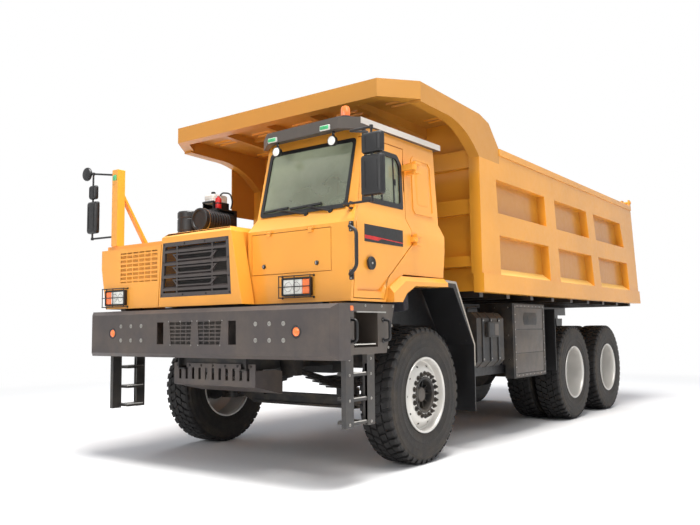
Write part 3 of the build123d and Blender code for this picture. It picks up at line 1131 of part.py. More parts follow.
def dump_canopy():
    """The cab guard: side beams, cut-cornered front beam, cover plate and ribs."""
    c = CANOPY_HALF_X
    w = BEAM_W
    plan = [(-c, CANOPY_Y), (c, CANOPY_Y), (BODY_X, CANOPY_CORNER_Y), (BODY_X, CANOPY_CORNER_Y + 1),
            (BODY_X - w, CANOPY_CORNER_Y + 50), (c - 60, CANOPY_Y + w), (-c + 60, CANOPY_Y + w),
            (-BODY_X + w, CANOPY_CORNER_Y + 50), (-BODY_X, CANOPY_CORNER_Y + 1), (-BODY_X, CANOPY_CORNER_Y)]
    front = deck_plate(plan, CANOPY_LOW_Z, CANOPY_TOP_Z)
    inner = BODY_X - w
    plate_z = CANOPY_TOP_Z - 75
    cover = deck_plate([(-c, CANOPY_Y + 40), (c, CANOPY_Y + 40), (inner, CANOPY_CORNER_Y + 20), (inner, BULKHEAD_Y + 12),
                        (-inner, BULKHEAD_Y + 12), (-inner, CANOPY_CORNER_Y + 20)], plate_z + 16, plate_z + 28)
    ribs = [side_plate([(CANOPY_Y + w, plate_z + 16), (BULKHEAD_Y, plate_z + 16), (BULKHEAD_Y, plate_z - 110),
                        (CANOPY_Y + w, plate_z - 40)], x - 40, x + 40) for x in CANOPY_RIB_X]
    cross = block(CANOPY_RIB_X[0], CANOPY_RIB_X[-1], 150, 210, plate_z - 25, plate_z + 16)
    guard = side_plate([(560, 2900), (BODY_FRONT_Y, 2900), (BODY_FRONT_Y, CANOPY_SEAM_Z + 10),
                        (731, CANOPY_LOW_Z - 150), (560, CANOPY_LOW_Z - 80)], -BODY_X, -BODY_X + SHEET_T)
    return fuse([front, cover, cross, guard] + pair(canopy_side()) + ribs)


def tailgate():
    """The tailgate, hung from pins above the body's rear corners."""
    x = SHEET_X - SHEET_T - GATE_GAP
    top, low = BODY_TOP_Z - 45, FLOOR_Z - 40
    slope = (BODY_LOW_REAR_Y - BODY_TOP_REAR_Y) / (BODY_TOP_Z - BODY_LOW_Z)
    y_top = rear_y(top) - 15
    y_low = rear_y(low) - 15
    sheet = side_plate([(y_top - GATE_T, top), (y_top - GATE_T + 12, top), (y_low - GATE_T + 12, low), (y_low - GATE_T, low)],
                       -x, x)
    ribs = []
    for z0, z1 in ((top - 120, top), (2880, 2990), (2350, 2460), (low, low + 130)):
        ribs.append(side_plate([(rear_y(z1) - 15 - GATE_T, z1), (rear_y(z1) - 15, z1), (rear_y(z0) - 15, z0),
                                (rear_y(z0) - 15 - GATE_T, z0)], -x, x))
    for px in (-x + 60, -x / 3, x / 3, x - 60):
        ribs.append(side_plate([(y_top - GATE_T, top), (y_top, top), (y_low, low), (y_low - GATE_T, low)],
                               px - 60, px + 60))
    arms = []
    for s in (-1, 1):
        arm = side_plate([(y_top - GATE_T, top - 60), (y_top, top - 60), (GATE_AXIS_Y + 45, GATE_AXIS_Z + 20),
                          (GATE_AXIS_Y, GATE_AXIS_Z + 48), (GATE_AXIS_Y - 48, GATE_AXIS_Z)], s * 1585, s * 1625)
        bore = bar((s * 1560, GATE_AXIS_Y, GATE_AXIS_Z), (s * 1640, GATE_AXIS_Y, GATE_AXIS_Z), 25 + HUB_GAP)
        arms.append(arm - bore)
    return fuse([sheet] + ribs + arms)


def leaned(shape):
    """A hoist piece that was built upright over the lower pin, leaned to the hoist's resting line."""
    return Pos(0, HOIST_Y, HOIST_Z) * Rot(-HOIST_LEAN, 0, 0) * shape


def hoist_tube(index):
    """One hoist stage along its own axis: a tube, or the solid rod when it is the last."""
    r = HOIST_R[index]
    z0 = 78 + 16 * index
    z1 = HOIST_LENGTH - 190 + 14 * index
    tube = Pos(0, 0, (z0 + z1) / 2) * Cylinder(r, z1 - z0)
    if index == len(HOIST_R) - 1:
        return tube
    hollow = Pos(0, 0, (z0 + z1) / 2 + 12) * Cylinder(r - HOIST_WALL, z1 - z0)
    gland = Pos(0, 0, z1 - 15) * (Cylinder(r - 1, 30) - Cylinder(HOIST_R[index + 1] + HOIST_GAP, 40))
    return fuse([tube - hollow, gland])


def cross_bar(z, radius, width):
    return bar((-width / 2, 0, z), (width / 2, 0, z), radius)


def hoist_barrel():
    """The outer tube with the eye that turns on the frame's pin."""
    neck = block(-95, 95, -45, 45, 0, 85)
    eye = fuse([neck, cross_bar(0, 62, 230)]) - cross_bar(0, HOIST_PIN_R + HUB_GAP, 260)
    return leaned(fuse([hoist_tube(0), eye]))


def hoist_stage(index):
    """A moving stage. The last one ends in the upper eye."""
    stage = hoist_tube(index)
    if index == len(HOIST_R) - 1:
        neck = block(-45, 45, -35, 35, HOIST_LENGTH - 142, HOIST_LENGTH)
        stage = fuse([stage, neck, cross_bar(HOIST_LENGTH, 58, 110)])
    return leaned(stage)


def save(name, shape):
    moved = Pos(0, -ORIGIN_Y, 0) * shape
    export_step(moved, f"parts/{name}.step")


def main():
    os.makedirs("parts", exist_ok=True)
    tyre_shape = tyre()
    steer_rim = front_rim()
    drive_rim = twin_rim()
    for side, name in ((1, "left"), (-1, "right")):
        turn = (lambda s: s) if side > 0 else flip
        front = Pos(FRONT_TYRE_X, 0, AXLE_Z)
        save(f"front_tyre_{name}", turn(front * tyre_shape))
        save(f"front_rim_{name}", turn(front * steer_rim))
        for label, y in (("middle", MIDDLE_AXLE_Y), ("rear", REAR_AXLE_Y)):
            outer = Pos(OUTER_TYRE_X, y, AXLE_Z)
            inner = Pos(OUTER_TYRE_X - TWIN_PITCH, y, AXLE_Z)
            save(f"{label}_tyres_{name}", group([turn(outer * tyre_shape), turn(inner * tyre_shape)]))
            save(f"{label}_rims_{name}", turn(outer * drive_rim))
        save(f"knuckle_{name}", turn(knuckle()))
    save("tie_rod", tie_rod())
    save("front_axle", front_axle())
    save("front_springs", group(pair(front_springs())))
    save("rear_suspension", group(pair(rear_suspension())))
    save("mudguards", mudguards())
    save("rear_axles", rear_axles())
    save("frame_rails", frame_rails())
    save("engine", engine())
    save("front_subframe", front_subframe())
    save("bumper", bumper())
    save("skid_plate", skid_plate())
    save("hood", hood())
    save("grille", grille())
    save("right_fender", right_fender())
    save("mirror_mast", mirror_mast())
    save("mirrors", mirrors())
    save("cab_shell", cab_shell())
    save("cab_glass", cab_glass())
    save("cab_door", cab_door())
    save("door_window", door_window())
    save("service_lid", service_lid())
    save("roof_visor", roof_visor())
    save("roof_lamps", roof_lamps())
    save("headlights", headlights())
    save("seat", seat())
    save("dashboard", dashboard())
    save("step_ladders", group(pair(step_ladder())))
    save("grab_handles", grab_handles())
    save("fuel_tank", fuel_tank())
    save("cabinet", cabinet())
    save("right_tanks", right_tanks())
    save("air_filters", air_filters())
    save("expansion_tank", expansion_tank())
    save("dump_sides", dump_sides())
    save("dump_floor", dump_floor())
    save("dump_bulkhead", dump_bulkhead())
    save("dump_canopy", dump_canopy())
    save("tailgate", tailgate())
    save("hoist_barrel", hoist_barrel())
    for index in (1, 2, 3, 4):
        save(f"hoist_stage_{index}", hoist_stage(index))


main()
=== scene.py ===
"""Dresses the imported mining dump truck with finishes, treads, bolts and fittings."""
import math

import bmesh
import bpy
from bpy.props import FloatProperty, FloatVectorProperty, IntProperty, PointerProperty
from mathutils import Matrix, Vector


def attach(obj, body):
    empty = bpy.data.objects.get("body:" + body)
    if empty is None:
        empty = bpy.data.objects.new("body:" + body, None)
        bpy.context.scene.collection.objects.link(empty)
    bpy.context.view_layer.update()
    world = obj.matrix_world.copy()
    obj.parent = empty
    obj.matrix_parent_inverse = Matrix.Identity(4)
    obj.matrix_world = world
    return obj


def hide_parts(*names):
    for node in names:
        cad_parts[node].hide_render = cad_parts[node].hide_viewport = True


bl_info = {
    "name": "Mining dump truck",
    "version": (1, 0, 0),
    "blender": (4, 5, 0),
    "location": "3D View > Sidebar > Dump truck",
    "description": "Builds the finishes and fittings of the packed dump truck",
    "category": "Object",
}

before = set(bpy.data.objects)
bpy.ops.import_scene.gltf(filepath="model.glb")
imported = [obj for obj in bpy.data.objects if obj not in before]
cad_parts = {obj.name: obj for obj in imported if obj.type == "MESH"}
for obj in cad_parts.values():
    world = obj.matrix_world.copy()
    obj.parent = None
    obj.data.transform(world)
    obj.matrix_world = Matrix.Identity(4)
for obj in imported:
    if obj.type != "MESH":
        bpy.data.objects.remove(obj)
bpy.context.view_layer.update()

# Truck coordinates: the front axle is at Y 0 there, and this far ahead of the stored part's origin
ORIGIN_Y = 2.8
# Height of the axles, middle planes of the front and the outer rear tyres, and pitch of the twin tyres
AXLE_Z = 0.684
FRONT_X = 1.415
OUTER_X = 1.400
TWIN_PITCH = 0.436
AXLE_YS = {"front": 0.0, "middle": 4.33, "rear": 5.89}
# Outer side of the step modules, and top of the right deck
MODULE_X = 1.650
DECK_Z = 2.352
# The truck's right and left, as the sign of X
SIDES = (-1, 1)
# Ways that fittings face: OUT is to the truck's left, and out of a wheel's face
OUT = (1, 0, 0)
AHEAD = (0, -1, 0)
BACK = (0, 1, 0)
UP = (0, 0, 1)
# The radius that closes a turned profile on its own line
TIP = 0.0001

# The materials and the repeated shapes by name, which the first operator makes
FINISHES = {}
PATTERNS = {}


# Sizes and colours

def linear(red, green, blue):
    """A display colour as scene light."""
    return tuple(c / 12.92 if c <= 0.04045 else ((c + 0.055) / 1.055) ** 2.4 for c in (red, green, blue))


def shade(tone, share, lift=0.0):
    """A tone made darker or lighter, at most white."""
    return tuple(min(1.0, c * share + lift) for c in tone)


def length(name, description, default):
    """A size of the panel."""
    return FloatProperty(name=name, description=description, default=default, min=0.0, unit="LENGTH",
                         precision=4)


def colour(name, description, red, green, blue):
    """A colour of the panel."""
    return FloatVectorProperty(name=name, description=description, default=linear(red, green, blue),
                               subtype="COLOR", size=3, min=0.0, max=1.0)


class TruckSizes(bpy.types.PropertyGroup):
    """Sizes of the repeated and turned pieces."""
    tread_radius: length("Tread radius", "Outer radius of the tyres", 0.6838)
    tread_depth: length("Tread depth", "Depth of the grooves between the tread blocks", 0.021)
    tread_pitches: IntProperty(name="Tread pitches", description="Blocks in one row round a tyre", default=44,
                               min=12)
    tyre_half_width: length("Tyre half width", "Half the width of a tyre at its widest", 0.1895)
    wheel_nuts: IntProperty(name="Wheel nuts", description="Nuts on one wheel", default=20, min=6)
    nut_ring: length("Nut ring", "Radius of the ring of wheel nuts", 0.212)
    nut_size: length("Nut size", "Radius of a wheel nut across its corners", 0.0185)


class TruckColours(bpy.types.PropertyGroup):
    """Colours of the finishes."""
    body_yellow: colour("Body yellow", "Cab and hood paint", 0.950, 0.640, 0.215)
    dump_yellow: colour("Dump yellow", "Dump body paint", 0.890, 0.605, 0.165)
    # The canopy yellow is darker than the dump yellow as painted shade for the canopy's overhang
    canopy_shaded_yellow: colour("Canopy yellow", "Weathered paint of the canopy", 0.770, 0.530, 0.190)
    bumper_grey: colour("Bumper grey", "Bumper and front guard paint", 0.255, 0.228, 0.222)
    trim_grey: colour("Trim grey", "Step modules, visor and cabinets", 0.290, 0.262, 0.240)
    chassis_black: colour("Chassis black", "Frame, axles and springs", 0.088, 0.085, 0.089)
    wheel_silver: colour("Wheel silver", "Wheel discs and rims", 0.800, 0.790, 0.770)
    rubber: colour("Rubber", "Tyres", 0.064, 0.060, 0.064)
    dust: colour("Dust", "Dry dust in corners and low down", 0.560, 0.490, 0.400)
    plastic_black: colour("Black plastic", "Mirrors, seals and hoses", 0.066, 0.066, 0.074)


# Materials

class Value:
    """A number or colour in a node tree, which Python's operators work on."""

    def __init__(self, graph, socket):
        self.graph = graph
        self.socket = socket

    def _maths(self, operation, left, right):
        """One maths node."""
        return self.graph.node("ShaderNodeMath", {"operation": operation}, {0: left, 1: right})

    def __add__(self, other):
        return self._maths("ADD", self, other)

    def __mul__(self, other):
        return self._maths("MULTIPLY", self, other)

    def __pow__(self, other):
        return self._maths("POWER", self, other)


class Graph:
    """A node tree that is built node by node."""

    def __init__(self, tree):
        self.tree = tree
        self.tree.nodes.clear()

    def node(self, kind, settings=None, sockets=None, output=0):
        """A node with its settings, and the values or links of its sockets; a list links several to one."""
        made = self.tree.nodes.new(kind)
        for key, value in (settings or {}).items():
            setattr(made, key, value)
        for key, value in (sockets or {}).items():
            for one in value if isinstance(value, list) else [value]:
                if isinstance(one, Value):
                    self.tree.links.new(one.socket, made.inputs[key])
                else:
                    made.inputs[key].default_value = one
        return Value(self, made.outputs[output]) if made.outputs else None


class Finish(Graph):
    """One material and the node tree that it is built from."""

    def __init__(self, name):
        self.material = bpy.data.materials.new(name)
        self.material.use_nodes = True
        super().__init__(self.material.node_tree)

    def place(self):
        """Where a point of the piece is at rest."""
        return self.node("ShaderNodeTexCoord", output="Object")

    def height(self):
        """How high a point of the piece is at rest."""
        return self.node("ShaderNodeSeparateXYZ", sockets={"Vector": self.place()}, output="Z")

    def noise(self, scale, detail=3.0, roughness=0.55, stretch=None):
        """Noise that stays on the piece, stretched along its axes if asked."""
        where = self.place()
        if stretch:
            where = self.node("ShaderNodeMapping", sockets={"Vector": where, "Scale": stretch})
        return self.node("ShaderNodeTexNoise",
                         sockets={"Vector": where, "Scale": scale, "Detail": detail, "Roughness": roughness})

    def between(self, value, low, high, to_low=0.0, to_high=1.0):
        """The value mapped from one range to another, and held there."""
        return self.node("ShaderNodeMapRange", {"clamp": True},
                         {"Value": value, "From Min": low, "From Max": high, "To Min": to_low,
                          "To Max": to_high})

    def blend(self, factor, first, second):
        """Two colours mixed by a factor."""
        made = self.tree.nodes.new("ShaderNodeMix")
        made.data_type = "RGBA"
        for key, value in ((0, factor), (6, first), (7, second)):
            if isinstance(value, Value):
                self.tree.links.new(value.socket, made.inputs[key])
            elif key == 0:
                made.inputs[key].default_value = value
            else:
                made.inputs[key].default_value = (*value, 1.0)
        return Value(self, made.outputs[2])

    def bump(self, height, strength, distance, under=None):
        """A small relief, over another one if asked."""
        sockets = {"Height": height, "Strength": strength, "Distance": distance}
        if under:
            sockets["Normal"] = under
        return self.node("ShaderNodeBump", sockets=sockets)

    def surface(self, **sockets):
        """The closing shader, with its sockets named as words_with_lines."""
        named = {key.replace("_", " ").title(): value for key, value in sockets.items()}
        renamed = {"Ior": "IOR"}
        shader = self.node("ShaderNodeBsdfPrincipled",
                           sockets={renamed.get(key, key): value for key, value in named.items()})
        self.node("ShaderNodeOutputMaterial", sockets={"Surface": shader})
        return self.material


# Heights at which there is little dust on the paint, and the full amount of it
DUST_HEIGHTS = (2.6, 0.35)
# How dark the painted shade makes the paint in the recesses of the body's sides
RECESS_SHADE = 0.74


def paint(name, tone, roughness, coat, grain, dust_tone, dust_amount, metallic=0.0, under=None, recess_shade_span=None):
    """Sprayed paint with tone drift, orange peel and dust. Under is a height and the tone of the paint below
    it; the recess span gives the distances from the centre plane between which painted shade in the recesses
    fades from dark to the full tone."""
    f = Finish(name)
    drift = f.noise(0.9, 2.0)
    base = f.blend(f.between(drift, 0.3, 0.7), shade(tone, 0.90), shade(tone, 1.05))
    blotch = f.between(f.noise(3.2, 6.0, 0.65), 0.42, 0.72)
    low = f.between(f.height(), *DUST_HEIGHTS)
    dust = (low * 0.75 + 0.25) * blotch * dust_amount
    if under:
        border, tone_below = under
        base = f.blend(f.between(f.height(), border + 0.005, border - 0.005), base, tone_below)
    # Painted shade: the tone darkens towards the centre plane, in the recesses of the body's sides
    if recess_shade_span:
        across = f.node("ShaderNodeSeparateXYZ", sockets={"Vector": f.place()}, output="X")
        out = f.node("ShaderNodeMath", {"operation": "ABSOLUTE"}, {0: across})
        base = f.blend(f.between(out, *recess_shade_span), shade(tone, RECESS_SHADE), base)
    coloured = f.blend(dust, base, dust_tone)
    streak = f.between(f.noise(7.0, 4.0, 0.6, (1.0, 1.0, 0.12)), 0.55, 0.8)
    even = f.between(f.noise(14.0, 3.0), 0.3, 0.7, roughness - 0.04, roughness + 0.06)
    rough = even + dust * 0.35 + streak * 0.05
    peel = f.noise(240.0, 2.0, 0.5)
    dents = f.noise(1.7, 1.0, 0.4)
    normal = f.bump(dents, 0.10, 0.02, f.bump(peel, grain, 0.0006))
    return f.surface(base_color=coloured, roughness=rough, metallic=metallic, coat_weight=coat,
                     coat_roughness=0.12, normal=normal)


def rubber(name, tone, dust_tone):
    """Tyre rubber: dull, with fine mould rings on the sidewall and dust that thins towards the rim."""
    f = Finish(name)
    uv = f.node("ShaderNodeUVMap", {"uv_map": "wheel"})
    across = f.node("ShaderNodeSeparateXYZ", sockets={"Vector": uv}, output="Y")
    rings = f.node("ShaderNodeMath", {"operation": "SINE"}, {0: across * 1250.0})
    on_side = f.between(across, 0.185, 0.195)
    blotch = f.between(f.noise(5.0, 6.0, 0.7), 0.35, 0.75)
    fine = f.noise(60.0, 5.0, 0.7)
    base = f.blend(f.between(fine, 0.3, 0.7), shade(tone, 0.8), shade(tone, 1.25))
    band = f.between(across, 0.20, 0.30, 1.0, 0.35)
    dust = blotch * (on_side * 0.22 * band + 0.02)
    coloured = f.blend(dust, base, dust_tone)
    rough = f.between(fine, 0.3, 0.7, 0.62, 0.80) + dust * 0.3
    normal = f.bump(fine, 0.25, 0.002, f.bump(rings * on_side, 0.25, 0.0008))
    return f.surface(base_color=coloured, roughness=rough, normal=normal)


def plastic(name, tone, roughness, grain=0.12):
    """Moulded plastic with a fine pebble grain."""
    f = Finish(name)
    pebble = f.node("ShaderNodeTexVoronoi", {"feature": "F1"}, {"Vector": f.place(), "Scale": 420.0})
    haze = f.between(f.noise(6.0, 4.0), 0.35, 0.7)
    coloured = f.blend(haze, shade(tone, 0.85), shade(tone, 1.35))
    rough = f.between(f.noise(20.0, 3.0), 0.3, 0.7, roughness - 0.05, roughness + 0.08)
    return f.surface(base_color=coloured, roughness=rough, normal=f.bump(pebble, grain, 0.0006))


def metal(name, tone, roughness):
    """Bright metal with faint turning marks and handling haze."""
    f = Finish(name)
    haze = f.noise(9.0, 5.0, 0.6)
    rough = f.between(haze, 0.3, 0.7, roughness * 0.8, roughness * 1.5)
    coloured = f.blend(f.between(haze, 0.35, 0.75), tone, shade(tone, 0.78))
    marks = f.noise(300.0, 2.0, 0.5, (1.0, 1.0, 0.15))
    return f.surface(base_color=coloured, roughness=rough, metallic=1.0, normal=f.bump(marks, 0.08, 0.0004))


def glass(name, tone, alpha, roughness=0.04):
    """Tinted window glass, thin enough to look through, with a dust film."""
    f = Finish(name)
    film = f.between(f.noise(2.4, 6.0, 0.65), 0.4, 0.8)
    rough = f.between(film, 0.0, 1.0, roughness, roughness + 0.06)
    drift = f.blend(f.between(f.noise(0.9, 0.0), 0.30, 0.70), shade(tone, 0.70), shade(tone, 1.75))
    tinted = f.blend(film * 0.25, drift, shade(tone, 1.0, 0.25))
    shader = f.node("ShaderNodeBsdfPrincipled",
                    sockets={"Base Color": tinted, "Roughness": rough, "IOR": 1.5, "Specular IOR Level": 0.8,
                             "Alpha": f.between(film, 0.0, 1.0, alpha, min(1.0, alpha + 0.08))})
    f.node("ShaderNodeOutputMaterial", sockets={"Surface": shader})
    return f.material


def lens(name, tone, glow):
    """A ribbed lamp lens that glows a little in its own colour."""
    f = Finish(name)
    ribs = f.node("ShaderNodeTexWave", {"wave_type": "BANDS", "bands_direction": "X"},
                  {"Vector": f.place(), "Scale": 38.0})
    haze = f.noise(30.0, 3.0)
    coloured = f.blend(f.between(haze, 0.3, 0.7), tone, shade(tone, 1.25, 0.02))
    return f.surface(base_color=coloured, roughness=f.between(haze, 0.3, 0.7, 0.08, 0.18), coat_weight=0.8,
                     coat_roughness=0.04, emission_color=coloured, emission_strength=glow,
                     normal=f.bump(ribs, 0.35, 0.002))


def fabric(name, tone):
    """Woven seat cloth with a worn nap."""
    f = Finish(name)
    warp = f.node("ShaderNodeTexWave", {"wave_type": "BANDS", "bands_direction": "X"},
                  {"Vector": f.place(), "Scale": 190.0})
    weft = f.node("ShaderNodeTexWave", {"wave_type": "BANDS", "bands_direction": "Z"},
                  {"Vector": f.place(), "Scale": 190.0})
    weave = warp * weft
    nap = f.between(f.noise(11.0, 5.0), 0.3, 0.75)
    base = f.blend(weave, shade(tone, 0.6), tone)
    coloured = f.blend(nap * 0.3, base, shade(tone, 1.8))
    return f.surface(base_color=coloured, roughness=0.92, normal=f.bump(weave, 0.5, 0.001))


def studio_floor():
    """Pale floor that takes the truck's shadow and fades into the white background."""
    f = Finish("studio_floor")
    across = f.node("ShaderNodeSeparateXYZ", sockets={"Vector": f.place()}, output="X")
    along = f.node("ShaderNodeSeparateXYZ", sockets={"Vector": f.place()}, output="Y")
    radius = (across * across + along * along) ** 0.5
    far = f.between(radius, 6.5, 13.0)
    seen = background_rays(f)
    pale = f.node("ShaderNodeBsdfDiffuse", sockets={"Color": (0.90, 0.90, 0.90, 1.0)})
    white = f.node("ShaderNodeEmission", sockets={"Color": (1.0, 1.0, 1.0, 1.0), "Strength": 1.0})
    mixed = f.node("ShaderNodeMixShader", sockets={0: far * seen, 1: pale, 2: white})
    f.node("ShaderNodeOutputMaterial", sockets={"Surface": mixed})
    return f.material


def background_rays(finish):
    """1 for the rays that show the background: from the camera, in gloss and through glass."""
    total = None
    for ray in ("Is Camera Ray", "Is Glossy Ray", "Is Transmission Ray"):
        one = finish.node("ShaderNodeLightPath", output=ray)
        if total is None:
            total = one
        else:
            total = finish.node("ShaderNodeMath", {"operation": "MAXIMUM"}, {0: total, 1: one})
    return total


# Repeated shapes

class Pattern(Graph):
    """Geometry Nodes that set one small shape at each point of a row, turned the way that the point faces."""

    def __init__(self, name, inputs):
        super().__init__(bpy.data.node_groups.new(name, "GeometryNodeTree"))
        face = self.tree.interface
        face.new_socket(name="Geometry", in_out="INPUT", socket_type="NodeSocketGeometry")
        for label, default in inputs:
            face.new_socket(name=label, in_out="INPUT", socket_type="NodeSocketFloat").default_value = default
        face.new_socket(name="Material", in_out="INPUT", socket_type="NodeSocketMaterial")
        face.new_socket(name="Geometry", in_out="OUTPUT", socket_type="NodeSocketGeometry")
        self.group = self.tree.nodes.new("NodeGroupInput")

    def given(self, label):
        """One of the pattern's inputs."""
        return Value(self, self.group.outputs[label])

    def drum(self, sides, radius, tall):
        """An upright drum that stands on the point."""
        body = self.node("GeometryNodeMeshCylinder", {"fill_type": "NGON"},
                         {"Vertices": sides, "Radius": radius, "Depth": tall})
        middle = self.node("ShaderNodeCombineXYZ", sockets={"Z": tall * 0.5})
        return self.node("GeometryNodeTransform", sockets={"Geometry": body, "Translation": middle})

    def close(self, shapes):
        """Sets the shapes on the points, makes them real and gives them the material."""
        facing = self.node("GeometryNodeInputNamedAttribute", {"data_type": "FLOAT_VECTOR"},
                           {"Name": "facing"})
        turn = self.node("FunctionNodeAlignRotationToVector", {"axis": "Z"}, {"Vector": facing})
        one = self.node("GeometryNodeJoinGeometry", sockets={"Geometry": shapes})
        placed = self.node("GeometryNodeInstanceOnPoints",
                           sockets={"Points": self.given("Geometry"), "Instance": one, "Rotation": turn})
        real = self.node("GeometryNodeRealizeInstances", sockets={"Geometry": placed})
        done = self.node("GeometryNodeSetMaterial",
                         sockets={"Geometry": real, "Material": self.given("Material")})
        self.node("NodeGroupOutput", sockets={"Geometry": done})
        return self

    def mesh(self, points, finish, **sizes):
        """The plain mesh of the pattern on points that are given as (place, way it faces)."""
        base = bpy.data.meshes.new("points")
        base.from_pydata([place for place, way in points], [], [])
        facing = base.attributes.new("facing", "FLOAT_VECTOR", "POINT")
        for item, (place, way) in zip(facing.data, points):
            item.vector = way
        holder = bpy.data.objects.new("points", base)
        bpy.context.scene.collection.objects.link(holder)
        modifier = holder.modifiers.new("pattern", "NODES")
        modifier.node_group = self.tree
        inputs = [item for item in self.tree.interface.items_tree if item.in_out == "INPUT"]
        sockets = {item.name: item.identifier for item in inputs}
        modifier[sockets["Material"]] = FINISHES[finish]
        for label, size in sizes.items():
            modifier[sockets[label.replace("_", " ").capitalize()]] = size
        ready = holder.evaluated_get(bpy.context.evaluated_depsgraph_get())
        mesh = bpy.data.meshes.new_from_object(ready)
        bpy.data.objects.remove(holder)
        bpy.data.meshes.remove(base)
        return mesh


def bolt_pattern():
    """A hexagon head on its washer, with the thread's end standing proud."""
    p = Pattern("bolt_heads", (("Radius", 0.012), ("Height", 0.010), ("Stud", 0.0)))
    radius, height = p.given("Radius"), p.given("Height")
    return p.close([p.drum(6, radius, height), p.drum(16, radius * 1.4, height * 0.25),
                    p.drum(8, radius * 0.5, height + p.given("Stud"))])


def bar_pattern():
    """A round bar that stands on its point."""
    p = Pattern("bars", (("Radius", 0.004), ("Length", 0.1)))
    return p.close([p.drum(8, p.given("Radius"), p.given("Length"))])


def tooth_pattern():
    """A four-sided tooth of a step's gripping edge."""
    p = Pattern("teeth", (("Radius", 0.008), ("Height", 0.012)))
    cone = p.node("GeometryNodeMeshCone", {"fill_type": "NGON"},
                  {"Vertices": 4, "Radius Top": p.given("Radius") * 0.25, "Radius Bottom": p.given("Radius"),
                   "Depth": p.given("Height")})
    return p.close([cone])


# Meshes

class Shape:
    """Closed shells of one piece, gathered in truck coordinates."""

    def __init__(self):
        self.bm = bmesh.new()
        self.finishes = []
        self.uv = None

    def _index(self, finish):
        """The slot of a finish on this piece."""
        if finish not in self.finishes:
            self.finishes.append(finish)
        return self.finishes.index(finish)

    def add(self, points, faces, finish, turn=None):
        """Faces given as tuples of indices into the points."""
        moved = [turn @ Vector(p) for p in points] if turn else points
        verts = [self.bm.verts.new(p) for p in moved]
        index = self._index(finish)
        made = []
        for face in faces:
            new = self.bm.faces.new([verts[i] for i in face])
            new.material_index = index
            made.append(new)
        return made

    def loft(self, rings, finish, turn=None, closed=False):
        """Rings of as many points joined in turn, capped at both ends unless they close on themselves."""
        count = len(rings[0])
        points = [p for ring in rings for p in ring]
        last = len(rings)
        faces = []
        for i in range(last if closed else last - 1):
            a, b = i * count, (i + 1) % last * count
            for k in range(count):
                n = (k + 1) % count
                faces.append((a + k, a + n, b + n, b + k))
        if not closed:
            faces.append(tuple(reversed(range(count))))
            faces.append(tuple((last - 1) * count + k for k in range(count)))
        return self.add(points, faces, finish, turn)

    def prism(self, axis, outline, low, high, finish, turn=None):
        """An outline in the plane across an axis, thick from low to high."""
        rings = [[across_axis(axis, p, w) for p in outline] for w in (low, high)]
        return self.loft(rings, finish, turn)

    def box(self, low, high, finish, turn=None):
        """A box between two opposite corners."""
        (x0, y0, z0), (x1, y1, z1) = low, high
        outline = [(x0, y0), (x1, y0), (x1, y1), (x0, y1)]
        return self.prism("z", outline, z0, z1, finish, turn)

    def plate(self, outline, at, low, high, finish):
        """An outline laid on a surface, thick from low to high."""
        return self.loft([[at(p, w) for p in outline] for w in (low, high)], finish)

    def lathe(self, profile, sides, finish, turn=None, closed=True):
        """A profile of (radius, x) points turned about the X axis."""
        return self.loft([around(radius, x, sides) for radius, x in profile], finish, turn, closed)

    def rod(self, start, end, radius, finish, sides=20, tip=None):
        """A round bar between two points, tapering to the tip's radius."""
        a, b = Vector(start), Vector(end)
        turn = Matrix.Translation(a) @ (b - a).to_track_quat("X", "Z").to_matrix().to_4x4()
        far = radius if tip is None else tip
        self.lathe([(radius, 0.0), (far, (b - a).length)], sides, finish, turn, closed=False)

    def pipe(self, points, radius, finish, sides=12, bend=0.05):
        """A rigid bent pipe through the points, with its corners turned on an arc."""
        path = rounded(points, bend)
        rings = []
        angles = [2 * math.pi * k / sides for k in range(sides)]
        side = None
        for i, p in enumerate(path):
            before = path[max(i - 1, 0)]
            after = path[min(i + 1, len(path) - 1)]
            way = (after - before).normalized()
            if side is None:
                side = way.orthogonal().normalized()
            side = (side - way * side.dot(way)).normalized()
            other = way.cross(side)
            rings.append([p + side * (radius * math.cos(a)) + other * (radius * math.sin(a)) for a in angles])
        self.loft(rings, finish)

    def turned(self, profile, base, way, finish, sides=32):
        """A profile of (radius, distance) points turned about a line that leaves the base."""
        turn = Matrix.Translation(Vector(base)) @ Vector(way).to_track_quat("X", "Z").to_matrix().to_4x4()
        self.lathe(profile, sides, finish, turn, closed=False)

    def scatter(self, kind, points, finish, **sizes):
        """Adds one of the repeated shapes at each point."""
        mesh = PATTERNS[kind].mesh(points, finish, **sizes)
        before = len(self.bm.faces)
        self.bm.from_mesh(mesh)
        bpy.data.meshes.remove(mesh)
        index = self._index(finish)
        self.bm.faces.ensure_lookup_table()
        for face in self.bm.faces[before:]:
            face.material_index = index

    def bolts(self, places, way, finish="steel", radius=0.012, height=0.009, stud=0.0):
        """Bolt heads that all face one way."""
        points = [(place, way) for place in places]
        self.scatter("bolts", points, finish, radius=radius, height=height, stud=stud)

    def panel(self, axis, outline, layers, finish):
        """A pressed panel: its outline drawn in by each layer's inset, at the layer's place on the axis."""
        rings = []
        for inset, along in layers:
            rings.append([across_axis(axis, p, along) for p in inset_outline(outline, inset)])
        self.loft(rings, finish)

    def border(self, outer, inner, at, low, high, finish):
        """A flat frame between two outlines with as many points, thick from low to high."""
        self.loft([[at(p, high) for p in outer], [at(p, low) for p in outer],
                   [at(p, low) for p in inner], [at(p, high) for p in inner]], finish, closed=True)

    def mesh(self, name):
        """The shells as a mesh, in the coordinates that they were given in."""
        bmesh.ops.recalc_face_normals(self.bm, faces=self.bm.faces)
        mesh = bpy.data.meshes.new(name)
        self.bm.to_mesh(mesh)
        self.bm.free()
        for finish in self.finishes:
            mesh.materials.append(FINISHES[finish])
        return mesh

    def piece(self, name, body, slot, bevel=0.0, replaces=()):
        """Turns the shells into a finished object that rides on a body."""
        mesh = self.mesh(name)
        mesh.transform(Matrix.Translation((0.0, -ORIGIN_Y, 0.0)))
        return mount(mesh, name, body, bevel, replaces)


